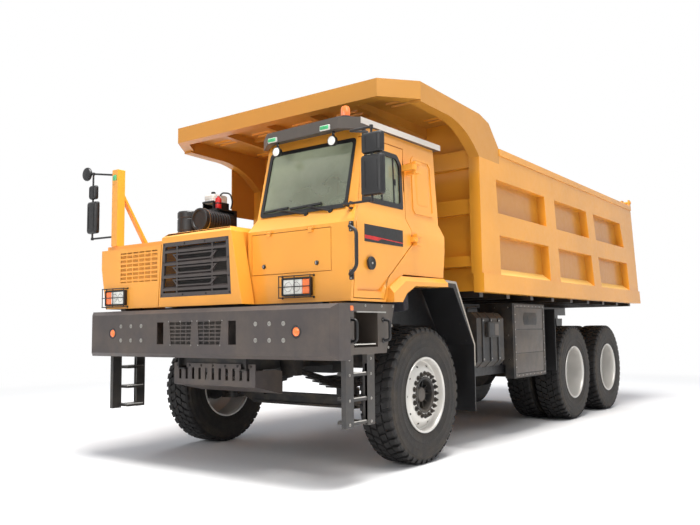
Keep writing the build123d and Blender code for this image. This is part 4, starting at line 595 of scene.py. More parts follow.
def mount(mesh, name, body, bevel=0.0, replaces=(), angle=35.0):
    """Makes a mesh a shown piece on a body; edges that turn by more than the angle are sharp."""
    mesh.shade_smooth()
    mesh.set_sharp_from_angle(angle=math.radians(angle))
    thing = bpy.data.objects.new(name, mesh)
    bpy.context.scene.collection.objects.link(thing)
    if bevel:
        round_edges(thing, bevel, angle)
    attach(thing, body)
    if replaces:
        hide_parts(*replaces)
    return thing


def round_edges(thing, width, angle):
    """Rounds the edges that are sharper than an angle."""
    bevel = thing.modifiers.new("rounding", "BEVEL")
    bevel.width = width
    bevel.segments = 2
    bevel.limit_method = "ANGLE"
    bevel.angle_limit = math.radians(angle)
    bevel.harden_normals = True
    bevel.use_clamp_overlap = True


def across_axis(axis, point, along):
    """A point of the plane across an axis, at a place along it."""
    u, v = point
    return {"x": (along, u, v), "y": (u, along, v), "z": (u, v, along)}[axis]


def around(radius, x, count, start=0.0):
    """Points in a ring about the X axis."""
    angles = [2 * math.pi * (k + start) / count for k in range(count)]
    return [(x, radius * math.sin(a), radius * math.cos(a)) for a in angles]


def arc(before, corner, after, bend, steps=5):
    """The arc that takes a corner off a run, no longer than the runs on both sides allow."""
    a = before - corner
    b = after - corner
    reach = min(bend, a.length * 0.45, b.length * 0.45)
    start = corner + a.normalized() * reach
    end = corner + b.normalized() * reach
    shares = [k / steps for k in range(steps + 1)]
    return [start * (1 - t) ** 2 + corner * (2 * t * (1 - t)) + end * t ** 2 for t in shares]


def rounded(points, bend):
    """The corner points of a run, each corner turned into an arc."""
    corners = [Vector(p) for p in points]
    path = [corners[0]]
    for before, corner, after in zip(corners, corners[1:], corners[2:]):
        path += arc(before, corner, after, bend)
    path.append(corners[-1])
    return path


def round_loop(points, bend):
    """A closed outline in a plane with its corners turned on an arc."""
    corners = [Vector(p) for p in points]
    path = []
    for i, corner in enumerate(corners):
        path += arc(corners[i - 1], corner, corners[(i + 1) % len(corners)], bend)
    return [tuple(p) for p in path]


def rectangle(u0, u1, v0, v1, bend=0.0):
    """The outline of a rectangle, with rounded corners if it has a bend."""
    corners = [(u0, v0), (u1, v0), (u1, v1), (u0, v1)]
    return round_loop(corners, bend) if bend else corners


def inset_outline(outline, inset):
    """A closed outline drawn in towards its middle by about the same distance on every side."""
    us = [p[0] for p in outline]
    vs = [p[1] for p in outline]
    mid_u, mid_v = (min(us) + max(us)) / 2, (min(vs) + max(vs)) / 2
    wide, tall = (max(us) - min(us)) / 2, (max(vs) - min(vs)) / 2
    across, up = 1 - inset / wide, 1 - inset / tall
    return [(mid_u + (u - mid_u) * across, mid_v + (v - mid_v) * up) for u, v in outline]


def side_of(name):
    """The sign of X on the side of the truck that a name ends in."""
    return 1 if name.endswith("left") else -1


class TRUCK_OT_finishes(bpy.types.Operator):
    """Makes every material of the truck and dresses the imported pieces"""
    bl_idname = "dump_truck.finishes"
    bl_label = "Finishes"

    def execute(self, context):
        tones = context.scene.dump_truck_colours
        FINISHES.update(paints(tones))
        FINISHES.update(other_finishes(tones))
        PATTERNS.update({"bolts": bolt_pattern(), "bars": bar_pattern(), "teeth": tooth_pattern()})
        for finish, nodes in FINISHED_NODES.items():
            for node in nodes:
                dress(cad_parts[node], FINISHES[finish])
        return {"FINISHED"}


def paints(tones):
    """The sprayed finishes."""
    black = tuple(tones.chassis_black)
    ladder_tone = linear(0.165, 0.160, 0.160)
    made = {}
    # columns: finish, tone, roughness, clear coat, orange peel, dust, what else the paint has
    for name, tone, roughness, coat, grain, dust, more in (
            ("yellow", tones.body_yellow, 0.36, 0.45, 0.10, 0.10, {}),
            ("bumper", tones.bumper_grey, 0.52, 0.05, 0.45, 0.22, {}),
            ("trim", tones.trim_grey, 0.48, 0.10, 0.30, 0.25, {}),
            ("step", tones.trim_grey, 0.48, 0.10, 0.30, 0.15, {"under": (1.12, ladder_tone)}),
            ("chassis", tones.chassis_black, 0.55, 0.05, 0.35, 0.30, {}),
            ("wheel", tones.wheel_silver, 0.34, 0.20, 0.10, 0.05, {"metallic": 0.35}),
            ("dump", tones.dump_yellow, 0.40, 0.30, 0.12, 0.05, {}),
            # dump_side: the dump yellow with painted shade in the bays' recesses
            ("dump_side", tones.dump_yellow, 0.40, 0.30, 0.12, 0.05, {"recess_shade_span": (1.66, 1.75)}),
            # canopy: a darker yellow that is painted shade under the canopy's overhang
            ("canopy", tones.canopy_shaded_yellow, 0.44, 0.20, 0.15, 0.10, {}),
            # The ledges' paler yellow is painted highlight on their sloped faces
            ("ledge", linear(0.985, 0.790, 0.430), 0.45, 0.20, 0.15, 0.10, {}),
            ("dump_floor", tones.dump_yellow, 0.45, 0.20, 0.15, 0.08, {"under": (1.80, black)}),
            # The pale strips on the guards' edges are painted highlight
            ("pale_trim", linear(0.66, 0.63, 0.58), 0.42, 0.10, 0.20, 0.15, {"metallic": 0.3}),
            ("visor_side", linear(0.82, 0.79, 0.75), 0.40, 0.10, 0.20, 0.10, {})):
        made[name] = paint(name + "_paint", tuple(tone), roughness, coat, grain, tuple(tones.dust), dust,
                           **more)
    return made


def other_finishes(tones):
    """Rubber, plastics, metals, glass, lenses and cloth."""
    return {
        "rubber": rubber("tyre_rubber", tuple(tones.rubber), tuple(tones.dust)),
        "black": plastic("black_plastic", tuple(tones.plastic_black), 0.42),
        "white": plastic("white_plastic", linear(0.84, 0.84, 0.82), 0.35, 0.05),
        "red": plastic("red_plastic", linear(0.72, 0.10, 0.09), 0.35, 0.05),
        "cabin": plastic("cabin_trim", linear(0.30, 0.30, 0.31), 0.6),
        "steel": metal("bare_steel", linear(0.72, 0.71, 0.69), 0.28),
        "chrome": metal("hoist_chrome", linear(0.86, 0.86, 0.87), 0.10),
        "mirror": metal("mirror_glass", linear(0.90, 0.91, 0.92), 0.03),
        "glass": glass("window_glass", linear(0.56, 0.59, 0.49), 0.66),
        "amber": lens("amber_lens", linear(0.95, 0.42, 0.08), 0.15),
        "green": lens("green_lens", linear(0.12, 0.62, 0.36), 0.10),
        "clear": lens("clear_lens", linear(0.86, 0.86, 0.83), 0.06),
        "cloth": fabric("seat_fabric", linear(0.22, 0.22, 0.25)),
    }


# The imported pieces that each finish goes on
FINISHED_NODES = {
    "yellow": ("hood", "right_fender", "cab_shell", "cab_door", "service_lid", "mirror_mast", "hoist_barrel"),
    "dump_side": ("dump_sides",),
    "dump_floor": ("dump_floor",),
    "dump": ("dump_bulkhead", "tailgate"),
    # The canopy's darker paint is painted shade
    "canopy": ("dump_canopy",),
    "bumper": ("bumper", "skid_plate", "grille"),
    "trim": ("roof_visor", "right_tanks"),
    "step": ("step_ladders",),
    "chassis": ("cabinet", "fuel_tank", "frame_rails", "front_subframe", "engine", "front_axle",
                "front_springs", "rear_axles", "rear_suspension", "knuckle_left", "knuckle_right", "tie_rod"),
    "black": ("mudguards", "mirrors", "grab_handles", "air_filters"),
    "chrome": ("hoist_stage_1", "hoist_stage_2", "hoist_stage_3", "hoist_stage_4"),
    "glass": ("cab_glass", "door_window"),
    "cabin": ("dashboard",),
    "cloth": ("seat",),
    "clear": ("headlights",),
    "amber": ("roof_lamps",),
    "white": ("expansion_tank",),
    "wheel": ("front_rim_left", "front_rim_right", "middle_rims_left", "middle_rims_right",
              "rear_rims_left", "rear_rims_right"),
    "rubber": ("front_tyre_left", "front_tyre_right", "middle_tyres_left", "middle_tyres_right",
               "rear_tyres_left", "rear_tyres_right"),
}
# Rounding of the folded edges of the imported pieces, in metres
NODE_ROUNDING = {
    "hood": 0.012, "right_fender": 0.010, "cab_shell": 0.010, "cab_door": 0.006, "service_lid": 0.004,
    "dump_sides": 0.012, "dump_bulkhead": 0.008, "tailgate": 0.010, "mirror_mast": 0.006,
    "bumper": 0.005, "roof_visor": 0.012, "step_ladders": 0.003, "cabinet": 0.008,
}


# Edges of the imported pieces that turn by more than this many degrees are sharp
SHARP_ANGLE = 32.0


def dress(node, finish):
    """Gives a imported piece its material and, where it is folded sheet, rounded edges."""
    mesh = node.data
    mesh.materials.clear()
    mesh.materials.append(finish)
    sharp_by_place(mesh)
    width = NODE_ROUNDING.get(node.name)
    if width:
        weld = node.modifiers.new("weld", "WELD")
        weld.merge_threshold = 0.00002
        round_edges(node, width, SHARP_ANGLE)


def sharp_by_place(mesh):
    """Marks the sharp edges of loose triangles by comparing the faces that meet at the same place."""
    for face in mesh.polygons:
        face.use_smooth = True
    touching = {}
    for face in mesh.polygons:
        for key in face.edge_keys:
            touching.setdefault(ends_of(mesh, key), []).append(face.normal)
    limit = math.cos(math.radians(SHARP_ANGLE))
    for edge in mesh.edges:
        normals = touching.get(ends_of(mesh, edge.vertices), [])
        edge.use_edge_sharp = len(normals) != 2 or normals[0].dot(normals[1]) < limit


def ends_of(mesh, pair):
    """Where an edge's two ends are, in a fixed order."""
    return tuple(sorted(tuple(round(c, 5) for c in mesh.vertices[i].co) for i in pair))


class TRUCK_OT_tyres(bpy.types.Operator):
    """Builds the tyres: a turned carcass and rows of tread blocks"""
    bl_idname = "dump_truck.tyres"
    bl_label = "Tyres"

    def execute(self, context):
        sizes = context.scene.dump_truck_sizes
        one = tyre_mesh(sizes)
        for axle, y in AXLE_YS.items():
            for name in ("left", "right"):
                side = side_of(name)
                node = f"front_tyre_{name}" if axle == "front" else f"{axle}_tyres_{name}"
                xs = [FRONT_X] if axle == "front" else [OUTER_X, OUTER_X - TWIN_PITCH]
                mesh = joined([(one, wheel_place(side, x, y)) for x in xs], node + "_tread")
                mount(mesh, node + "_tread", f"{axle}_wheel_{name}", replaces=(node,))
        bpy.data.meshes.remove(one)
        return {"FINISHED"}


def wheel_place(side, x, y):
    """Where a wheel that is built about the X axis, face outwards, goes in the stored part."""
    turn = Matrix.Rotation(math.pi, 4, "Z") if side < 0 else Matrix.Identity(4)
    return Matrix.Translation((side * x, y - ORIGIN_Y, AXLE_Z)) @ turn


def joined(parts, name):
    """Copies of meshes at their places, as one new mesh that keeps its UV map."""
    bm = bmesh.new()
    for mesh, place in parts:
        copy = mesh.copy()
        copy.transform(place)
        bm.from_mesh(copy)
        bpy.data.meshes.remove(copy)
    new = bpy.data.meshes.new(name)
    bm.to_mesh(new)
    bm.free()
    for material in parts[0][0].materials:
        new.materials.append(material)
    return new


def tyre_mesh(sizes):
    """One tyre about the X axis, centred on its middle plane."""
    shape = Shape()
    r = sizes.tread_radius
    w = sizes.tyre_half_width
    base = r - sizes.tread_depth
    half = [(0.366, 0.150), (0.366, 0.166), (0.372, 0.172), (0.384, 0.174), (0.392, 0.169), (0.410, 0.171),
            (0.440, 0.178), (0.470, 0.184), (0.476, 0.1865), (0.480, 0.1850), (0.520, w - 0.0008),
            (0.545, w - 0.0004), (0.549, w), (0.553, w - 0.0012), (0.580, w - 0.0020), (0.605, w - 0.0045),
            (0.611, w - 0.0035), (0.616, w - 0.0065), (0.632, w - 0.0125), (0.645, 0.171),
            (base - 0.004, 0.160), (base, 0.140), (base + 0.001, 0.0)]
    profile = half + [(radius, -x) for radius, x in reversed(half[:-1])]
    shape.lathe(profile, sizes.tread_pitches * 2, "rubber")
    tread_blocks(shape, sizes)
    bm = shape.bm
    bmesh.ops.recalc_face_normals(bm, faces=bm.faces)
    layer = bm.loops.layers.uv.new("wheel")
    for face in bm.faces:
        for loop in face.loops:
            x, y, z = loop.vert.co
            radius = math.hypot(y, z)
            loop[layer].uv = (math.atan2(y, z) / math.tau, abs(x) + max(0.0, (r - 0.035) - radius))
    mesh = bpy.data.meshes.new("tyre")
    bm.to_mesh(mesh)
    bm.free()
    mesh.materials.append(FINISHES["rubber"])
    return mesh


# Tread rows as: inner x, outer x, and in parts of a pitch the block's lean, start and share
TREAD_ROWS = ((0.004, 0.078, 0.30, 0.00, 0.80), (0.086, 0.170, 0.22, 0.50, 0.74))


def tread_blocks(shape, sizes):
    """Rows of leaning blocks, with shoulder blocks that step down the sidewall."""
    pitch = 2 * math.pi / sizes.tread_pitches
    for k in range(sizes.tread_pitches):
        for side in SIDES:
            for inner, outer, lean, start, share in TREAD_ROWS:
                middle = (k + start + (0.5 if side < 0 else 0.0)) * pitch
                tread_block(shape, sizes, side, (inner, outer), middle, share * pitch / 2, lean * pitch / 2)


def tread_block(shape, sizes, side, edges, middle, half, shift):
    """One block between two places across the tyre; its angles are middle, half length and lean."""
    inner, outer = edges
    r = sizes.tread_radius
    floor = r - sizes.tread_depth - 0.003
    chamfer = 0.010
    shoulder = outer > 0.12
    crown = r - (0.004 if shoulder else 0.001)
    top_outer = outer - (0.010 if shoulder else 0.003)

    def pair(radius, x, turn, half_angle, forwards=True):
        """A point at each end of the block."""
        angles = (middle + turn - half_angle, middle + turn + half_angle)
        ends = [(side * x, radius * math.sin(a), radius * math.cos(a)) for a in angles]
        return ends if forwards else ends[::-1]

    points = pair(r - 0.0005, inner + 0.003, -shift, half - chamfer)
    points += pair(crown, top_outer, shift, half - chamfer, False)
    points += pair(floor, inner, -shift, half)
    points += pair(floor, outer, shift, half, False)
    if not shoulder:
        shape.add(points, BLOCK_FACES, "rubber")
        return
    points += pair(r - 0.022, outer + 0.006, shift, half - 0.006, False)
    points += pair(0.632, 0.1775, shift, half * 0.8, False)
    points += pair(0.630, 0.160, shift, half * 0.8, False)
    shape.add(points, SHOULDER_FACES, "rubber")


# A block's points: 0 to 3 its top, 4 to 7 its root in the groove
BLOCK_FACES = ((0, 1, 2, 3), (0, 4, 5, 1), (1, 5, 6, 2), (2, 6, 7, 3), (3, 7, 4, 0), (4, 7, 6, 5))
# A shoulder block's further points: 8 and 9 its edge, 10 and 11 its foot on the sidewall, 12 and 13 its root
SHOULDER_FACES = ((0, 1, 2, 3), (0, 4, 5, 1), (3, 2, 8, 9), (9, 8, 10, 11), (11, 10, 12, 13), (13, 12, 5, 4),
                  (1, 5, 12, 10, 8, 2), (0, 3, 9, 11, 13, 4))


class TRUCK_OT_wheels(bpy.types.Operator):
    """Builds the wheels: turned rims and discs, hubs, and the nuts in their rings"""
    bl_idname = "dump_truck.wheels"
    bl_label = "Wheels"

    def execute(self, context):
        sizes = context.scene.dump_truck_sizes
        steer = front_wheel(sizes).mesh("front_wheel")
        drive = drive_wheel(sizes).mesh("drive_wheel")
        for axle, y in AXLE_YS.items():
            for name in ("left", "right"):
                front = axle == "front"
                node = f"front_rim_{name}" if front else f"{axle}_rims_{name}"
                place = wheel_place(side_of(name), FRONT_X if front else OUTER_X, y)
                mesh = joined([(steer if front else drive, place)], node + "_turned")
                mount(mesh, node + "_turned", f"{axle}_wheel_{name}", replaces=(node,),
                      angle=28.0)
        bpy.data.meshes.remove(steer)
        bpy.data.meshes.remove(drive)
        return {"FINISHED"}


# The open side of a rim: its rolled lip, as (radius, distance from the tyre's middle)
RIM_LIP = ((0.366, 0.160), (0.372, 0.168), (0.378, 0.171), (0.380, 0.177), (0.377, 0.183), (0.368, 0.185),
           (0.360, 0.181), (0.354, 0.172))
RIM_SIDES = 88
# How far a wheel nut stands off its disc, and its stud off the nut
NUT_HEIGHT = 0.022
STUD_HEIGHT = 0.016


def front_wheel(sizes):
    """The steered wheel about the X axis, its face outwards: a domed disc close to the lip."""
    shape = Shape()
    shape.lathe([*RIM_LIP, (0.350, 0.150), (0.348, 0.128), (0.343, 0.112), (0.335, 0.105), (0.325, 0.108),
                 (0.300, 0.128), (0.276, 0.148), (0.258, 0.158), (0.240, 0.162), (0.176, 0.163),
                 (0.176, 0.143), (0.240, 0.142), (0.275, 0.128), (0.318, 0.090), (0.345, 0.070),
                 (0.350, -0.150), (0.372, -0.166), (0.379, -0.172), (0.377, -0.181), (0.364, -0.180),
                 (0.358, -0.160), (0.362, 0.140)], RIM_SIDES, "wheel")
    nuts = around(sizes.nut_ring, 0.162, sizes.wheel_nuts)
    shape.bolts(nuts, OUT, "chassis", sizes.nut_size, NUT_HEIGHT, STUD_HEIGHT)
    ring = 0.292
    for p in around(ring, 0.1315, 10, 0.5):
        way = Vector((0.77, p[1] / ring * 0.64, p[2] / ring * 0.64)).normalized()
        shape.turned([(0.0115, 0.0), (0.0115, 0.006), (TIP, 0.006)], p, way, "chassis", 14)
    shape.lathe([(0.182, 0.150), (0.182, 0.168), (0.176, 0.172), (0.160, 0.172), (0.150, 0.160),
                 (0.142, 0.090), (0.118, 0.066), (0.070, 0.060), (0.070, 0.040), (0.182, 0.040)],
                60, "chassis")
    shape.turned([(0.074, 0.040), (0.074, 0.118), (0.066, 0.128), (0.040, 0.132), (TIP, 0.132)],
                 (0, 0, 0), OUT, "trim", 40)
    shape.bolts(around(0.105, 0.062, 10), OUT, "chassis", 0.011, 0.010, 0.010)
    ribs = 10
    for k in range(ribs):
        turn = Matrix.Rotation(-2 * math.pi * (k + 0.5) / ribs, 4, "X")
        shape.box((0.054, -0.006, 0.072), (0.116, 0.006, 0.150), "chassis", turn)
    return shape


def drive_wheel(sizes):
    """The twin wheel about the X axis: a deep smooth bowl behind the lip, with the hub far inside."""
    shape = Shape()
    far = -TWIN_PITCH
    shape.lathe([*RIM_LIP, (0.350, 0.155), (0.348, 0.080), (0.344, 0.000), (0.336, -0.060), (0.324, -0.105),
                 (0.306, -0.142), (0.280, -0.168), (0.250, -0.180), (0.225, -0.185), (0.145, -0.186),
                 (0.145, -0.205), (0.230, -0.205), (0.300, -0.225), (0.345, -0.276), (0.350, far - 0.150),
                 (0.356, far - 0.178), (0.368, far - 0.185), (0.379, far - 0.177), (0.372, far - 0.168),
                 (0.362, far - 0.150), (0.362, 0.140)], RIM_SIDES, "wheel")
    nuts = around(sizes.nut_ring, -0.186, sizes.wheel_nuts)
    shape.bolts(nuts, OUT, "chassis", sizes.nut_size, NUT_HEIGHT, STUD_HEIGHT)
    shape.turned([(0.142, -0.290), (0.142, -0.080), (0.134, -0.066), (0.110, -0.060), (0.106, -0.040),
                  (0.098, -0.034), (TIP, -0.034)], (0, 0, 0), OUT, "chassis", 60)
    shape.bolts(around(0.122, -0.062, 16), OUT, "chassis", 0.009, 0.008)
    return shape

class TRUCK_OT_lamps(bpy.types.Operator):
    """Builds the guarded headlights, the bumper's markers, the roof lamps, the beacon and the tail lamps"""
    bl_idname = "dump_truck.lamps"
    bl_label = "Lamps"

    def execute(self, context):
        front_lamps()
        roof_lamps()
        tail_lamps()
        return {"FINISHED"}


def front_lamps():
    """Both headlights, and the marker lamps in the bumper's ends."""
    shape = Shape()
    # columns: edges across, bottom, top, face, side of the truck
    for x0, x1, z0, z1, y, side in ((0.860, 1.250, 1.640, 1.850, -1.345, 1),
                                    (-1.585, -1.195, 1.615, 1.825, -1.530, -1)):
        headlight(shape, x0, x1, z0, z1, y, side)
    ring = [(0.060, 0.0), (0.060, 0.016), (0.054, 0.022), (0.044, 0.020), (0.038, 0.014)]
    marker = [(0.039, 0.0), (0.039, 0.016), (0.031, 0.022), (0.016, 0.0245), (TIP, 0.025)]
    for side in SIDES:
        base = (side * 1.291, -1.636, 1.335)
        shape.turned(ring, base, AHEAD, "black", 40)
        shape.turned(marker, base, AHEAD, "amber", 40)
    shape.piece("front_lamps", "chassis", "lamp_glass", bevel=0.0012, replaces=("headlights",))


def headlight(shape, x0, x1, z0, z1, y, side):
    """One rectangular headlight in its case, its amber part on the outside, behind a guard."""
    def on_face(p, out):
        return (p[0], y - out, p[1])

    inset = 0.020
    a, b, c, d = x0 + inset, x1 - inset, z0 + inset, z1 - inset
    rim = rectangle(a, b, c, d, 0.016)
    hole = rectangle(a + 0.014, b - 0.014, c + 0.014, d - 0.014, 0.010)
    shape.border(rim, hole, on_face, 0.0, 0.034, "black")
    shape.box((a + 0.004, y - 0.012, c + 0.004), (b - 0.004, y, d - 0.004), "black")
    bowl = [(0.044, 0.0), (0.046, 0.003), (0.040, 0.004), (0.039, 0.001)]
    split = a + (b - a) * (0.70 if side > 0 else 0.30)
    for low, high in ((a + 0.016, split - 0.003), (split + 0.003, b - 0.016)):
        amber = (side > 0) == (low > split)
        shape.panel("y", rectangle(low, high, c + 0.017, d - 0.017, 0.008),
                    [(0.0, y - 0.010), (0.0, y - 0.024), (0.005, y - 0.029)], "amber" if amber else "clear")
        if amber:
            continue
        for share in (0.28, 0.72):
            middle = (low + (high - low) * share, y - 0.0275, (c + d) / 2)
            shape.turned(bowl, middle, AHEAD, "steel", 36)
    headlight_guard(shape, x0, x1, z0, z1, y)


def headlight_guard(shape, x0, x1, z0, z1, y):
    """Crossed bars before a headlight, on four stays with round feet."""
    front = y - 0.056
    bar = 0.005
    edge = 0.006
    for z in (z0 + edge, (z0 + z1) / 2, z1 - edge):
        shape.rod((x0, front, z), (x1, front, z), bar, "black", 10)
    for x in (x0 + edge, (x0 + x1) / 2, x1 - edge):
        shape.rod((x, front, z0), (x, front, z1), bar, "black", 10)
    for x in (x0 + edge, x1 - edge):
        for z in (z0 + edge, z1 - edge):
            shape.rod((x, front, z), (x, y, z), bar, "black", 10)
            shape.turned([(0.012, 0.0), (0.012, 0.004), (TIP, 0.004)], (x, y, z), AHEAD, "black", 16)


def roof_lamps():
    """The round lamps under the roof visor, the flat green ones on it, and the beacon."""
    shape = Shape()
    shell = [(0.028, 0.0), (0.043, 0.010), (0.048, 0.026), (0.0485, 0.052), (0.045, 0.057), (0.041, 0.052)]
    front = [(0.0415, 0.045), (0.0415, 0.055), (0.028, 0.058), (TIP, 0.059)]
    for x in (0.700, 1.385):
        base = (x, -1.196, 3.080)
        shape.turned(shell, base, AHEAD, "black", 40)
        shape.turned(front, base, AHEAD, "clear", 40)
        shape.box((x - 0.010, -1.232, 3.118), (x + 0.010, -1.212, 3.176), "black")
        shape.bolts([(x + 0.010, -1.222, 3.150)], OUT, radius=0.006, height=0.005)
    for x, y in ((0.650, -1.2415), (1.330, -1.2712)):
        shape.panel("y", rectangle(x - 0.058, x + 0.058, 3.180, 3.227, 0.008),
                    [(0.0, y), (0.0, y - 0.010), (0.003, y - 0.013)], "white")
        shape.panel("y", rectangle(x - 0.048, x + 0.048, 3.187, 3.220, 0.006),
                    [(0.0, y - 0.012), (0.0, y - 0.019), (0.004, y - 0.022)], "green")
    beacon = (1.475, -1.150, 3.285)
    shape.turned([(0.050, 0.0), (0.052, 0.012), (0.050, 0.026), (0.044, 0.028)], beacon, UP, "black", 40)
    shape.turned([(0.043, 0.026), (0.045, 0.050), (0.043, 0.096), (0.034, 0.118), (0.016, 0.127),
                  (TIP, 0.129)], beacon, UP, "amber", 40)
    shape.piece("roof_lamp_set", "chassis", "lamp_glass", replaces=("roof_lamps",))


def tail_lamps():
    """A red, an amber and a clear lens side by side on both sides of the frame's end."""
    shape = Shape()
    for side in SIDES:
        start, end = sorted((side * 0.300, side * 0.420))
        # columns: the shares of the lamp's width between which a lens lies, and its finish
        for low, high, finish in ((0.0, 0.30, "red"), (0.31, 0.62, "amber"), (0.63, 1.0, "clear")):
            x0 = start + (end - start) * low
            x1 = start + (end - start) * high
            shape.panel("y", rectangle(x0, x1, 1.130, 1.215, 0.006),
                        [(0.0, 6.840), (0.0, 6.858), (0.004, 6.862)], finish)
    shape.piece("tail_lamps", "chassis", "lamp_glass")


# Radius of the tubes that carry the mirrors
MIRROR_TUBE = 0.011


class TRUCK_OT_mirrors(bpy.types.Operator):
    """Builds the mirror heads on their bent tube arms, left on the cab and right on the mast"""
    bl_idname = "dump_truck.mirrors"
    bl_label = "Mirrors"

    def execute(self, context):
        shape = Shape()
        left = (1.900, -1.350)
        right = (-1.930, -1.490)
        left_mirrors(shape, *left)
        right_mirrors(shape, *right)
        for (x, y), heights in ((left, (2.452, 2.56, 2.79, 2.93, 3.100)),
                                (right, (2.420, 2.56, 2.79, 2.93, 3.180))):
            for z in heights:
                shape.turned([(0.017, 0.0), (0.017, 0.030), (TIP, 0.030)], (x, y, z - 0.015), UP, "black", 18)
        arm_feet(shape)
        shape.panel("y", rectangle(-1.528, -1.472, 3.045, 3.105, 0.008),
                    [(0.0, -1.504), (0.0, -1.514), (0.005, -1.518)], "green")
        shape.piece("mirror_set", "chassis", "black_plastic", bevel=0.0015, replaces=("mirrors",))
        return {"FINISHED"}


def left_mirrors(shape, x, y):
    """A tall and a wide mirror on one upright tube beside the cab, with their arms."""
    mirror_head(shape, x - 0.100, x + 0.130, 2.495, 2.850, y - 0.040, y + 0.018)
    mirror_head(shape, x - 0.095, x + 0.125, 2.865, 3.050, y - 0.035, y + 0.018)
    shape.rod((x, y, 2.440), (x, y, 3.108), MIRROR_TUBE, "black", 14)
    shape.pipe([(1.632, -1.065, 3.152), (1.665, -1.065, 3.152), (1.665, y, 3.100), (x, y, 3.100)],
               MIRROR_TUBE, "black", bend=0.03)
    shape.pipe([(1.580, -1.245, 2.452), (1.580, y, 2.452), (x, y, 2.452)], MIRROR_TUBE, "black", bend=0.03)


def right_mirrors(shape, x, y):
    """A tall, a wide and a round mirror on one upright tube beside the mast, with their arms."""
    mirror_head(shape, x - 0.070, x + 0.110, 2.480, 2.850, y - 0.040, y + 0.018)
    mirror_head(shape, x - 0.050, x + 0.080, 2.880, 3.040, y - 0.035, y + 0.018)
    shape.rod((x, y, 2.410), (x, y, 3.186), MIRROR_TUBE, "black", 14)
    shape.turned([(0.050, 0.0), (0.074, 0.006), (0.080, 0.018), (0.079, 0.032), (0.074, 0.038), (TIP, 0.040)],
                 (x - 0.110, y - 0.030, 3.190), BACK, "black", 48)
    mast_x, mast_y = -1.550, -1.455
    shape.pipe([(mast_x, mast_y, 3.130), (mast_x - 0.050, mast_y, 3.130), (x, y, 3.180),
                (x - 0.060, y, 3.186)], MIRROR_TUBE, "black", bend=0.03)
    shape.pipe([(mast_x, mast_y, 2.420), (mast_x - 0.050, mast_y, 2.420), (x, y, 2.420)],
               MIRROR_TUBE, "black", bend=0.03)


def arm_feet(shape):
    """The blocks that hold the mirror arms on the cab and on the mast."""
    feet = [((1.584, -1.258, 2.422), (1.604, -1.222, 2.492)),
            ((1.612, -1.088, 3.120), (1.634, -1.042, 3.180))]
    feet += [((-1.560, -1.480, z - 0.035), (-1.548, -1.430, z + 0.035)) for z in (2.420, 3.130)]
    for low, high in feet:
        shape.box(low, high, "black")


def mirror_head(shape, x0, x1, z0, z1, front, back):
    """A mirror's moulded shell with a ridged back, and its glass on the driver's side."""
    shell = rectangle(x0, x1, z0, z1, 0.028)
    deep = back - front
    shape.panel("y", shell, [(0.026, front), (0.014, front + 0.004), (0.003, front + 0.016),
                             (0.0, front + deep * 0.6), (0.0, back - 0.004), (0.004, back)], "black")
    wide, tall = x1 - x0, z1 - z0
    for share in (0.22, 0.78):
        x = x0 + wide * share
        low, high = z0 + tall * 0.16, z1 - tall * 0.16
        shape.box((x - 0.004, front - 0.003, low), (x + 0.004, front + 0.006, high), "black")
    shape.panel("y", rectangle(x0 + 0.010, x1 - 0.010, z0 + 0.010, z1 - 0.010, 0.020),
                [(0.0, back - 0.002), (0.0, back + 0.002)], "mirror")


class TRUCK_OT_handles(bpy.types.Operator):
    """Builds the round grab handles at the steps and the tall grab tube on the cab"""
    bl_idname = "dump_truck.handles"
    bl_label = "Handles"

    def execute(self, context):
        shape = Shape()
        for side in SIDES:
            for y in (-1.353, -0.838):
                step_handle(shape, side, y)
        corner_tube(shape)
        shape.piece("handle_set", "chassis", "black_plastic", replaces=("grab_handles",))
        return {"FINISHED"}


def step_handle(shape, side, y):
    """A bent handle on the side of a step module, with both ends in bolted flanges."""
    x = side * MODULE_X
    reach = x + side * 0.062
    low, high = 1.245, 1.435
    shape.pipe([(x, y, low), (reach, y + 0.015, low + 0.005), (reach, y + 0.015, high - 0.005), (x, y, high)],
               0.0135, "black", 14, 0.07)
    for z in (low, high):
        shape.turned([(0.026, 0.0), (0.026, 0.005), (0.020, 0.008), (TIP, 0.008)], (x, y, z), (side, 0, 0),
                     "black", 28)
        shape.bolts([(x + side * 0.005, y - 0.017, z), (x + side * 0.005, y + 0.017, z)], (side, 0, 0),
                    radius=0.0045, height=0.005)


def corner_tube(shape):
    """The tall grab tube on the cab's front corner, between two bolted plates."""
    x, y = 1.672, -1.345
    out, ahead = x + 0.080, y - 0.040
    low, high = 1.825, 2.250
    shape.pipe([(x, y, low), (x, y - 0.035, low), (out, ahead, 1.885), (out, ahead, 2.205),
                (x, y - 0.035, high), (x, y, high)], 0.0165, "black", 16, 0.07)
    for z in (low, high):
        shape.panel("y", rectangle(x - 0.022, x + 0.022, z - 0.045, z + 0.045, 0.010),
                    [(0.0, y), (0.0, y - 0.010), (0.003, y - 0.014)], "black")
        shape.bolts([(x, y - 0.014, z - 0.032), (x, y - 0.014, z + 0.032)], AHEAD, radius=0.006, height=0.006)


# The cab's windscreen plane: its foot, the way up it and the way out of it, as (y, z)
SCREEN_FOOT = (-1.215, 2.460)
SCREEN_UP = (0.24254, 0.97014)
SCREEN_OUT = (-0.97014, 0.24254)


def on_screen(p, w):
    """A point across and up the windscreen, at a height off it."""
    across, up = p
    return (across, SCREEN_FOOT[0] + SCREEN_UP[0] * up + SCREEN_OUT[0] * w,
            SCREEN_FOOT[1] + SCREEN_UP[1] * up + SCREEN_OUT[1] * w)


def on_side(p, w):
    """A point of the cab's left side above the sill, as (y, z), at a height off the skin."""
    return (1.630 - (p[1] - 2.430) * 0.03125 + w, p[0], p[1])


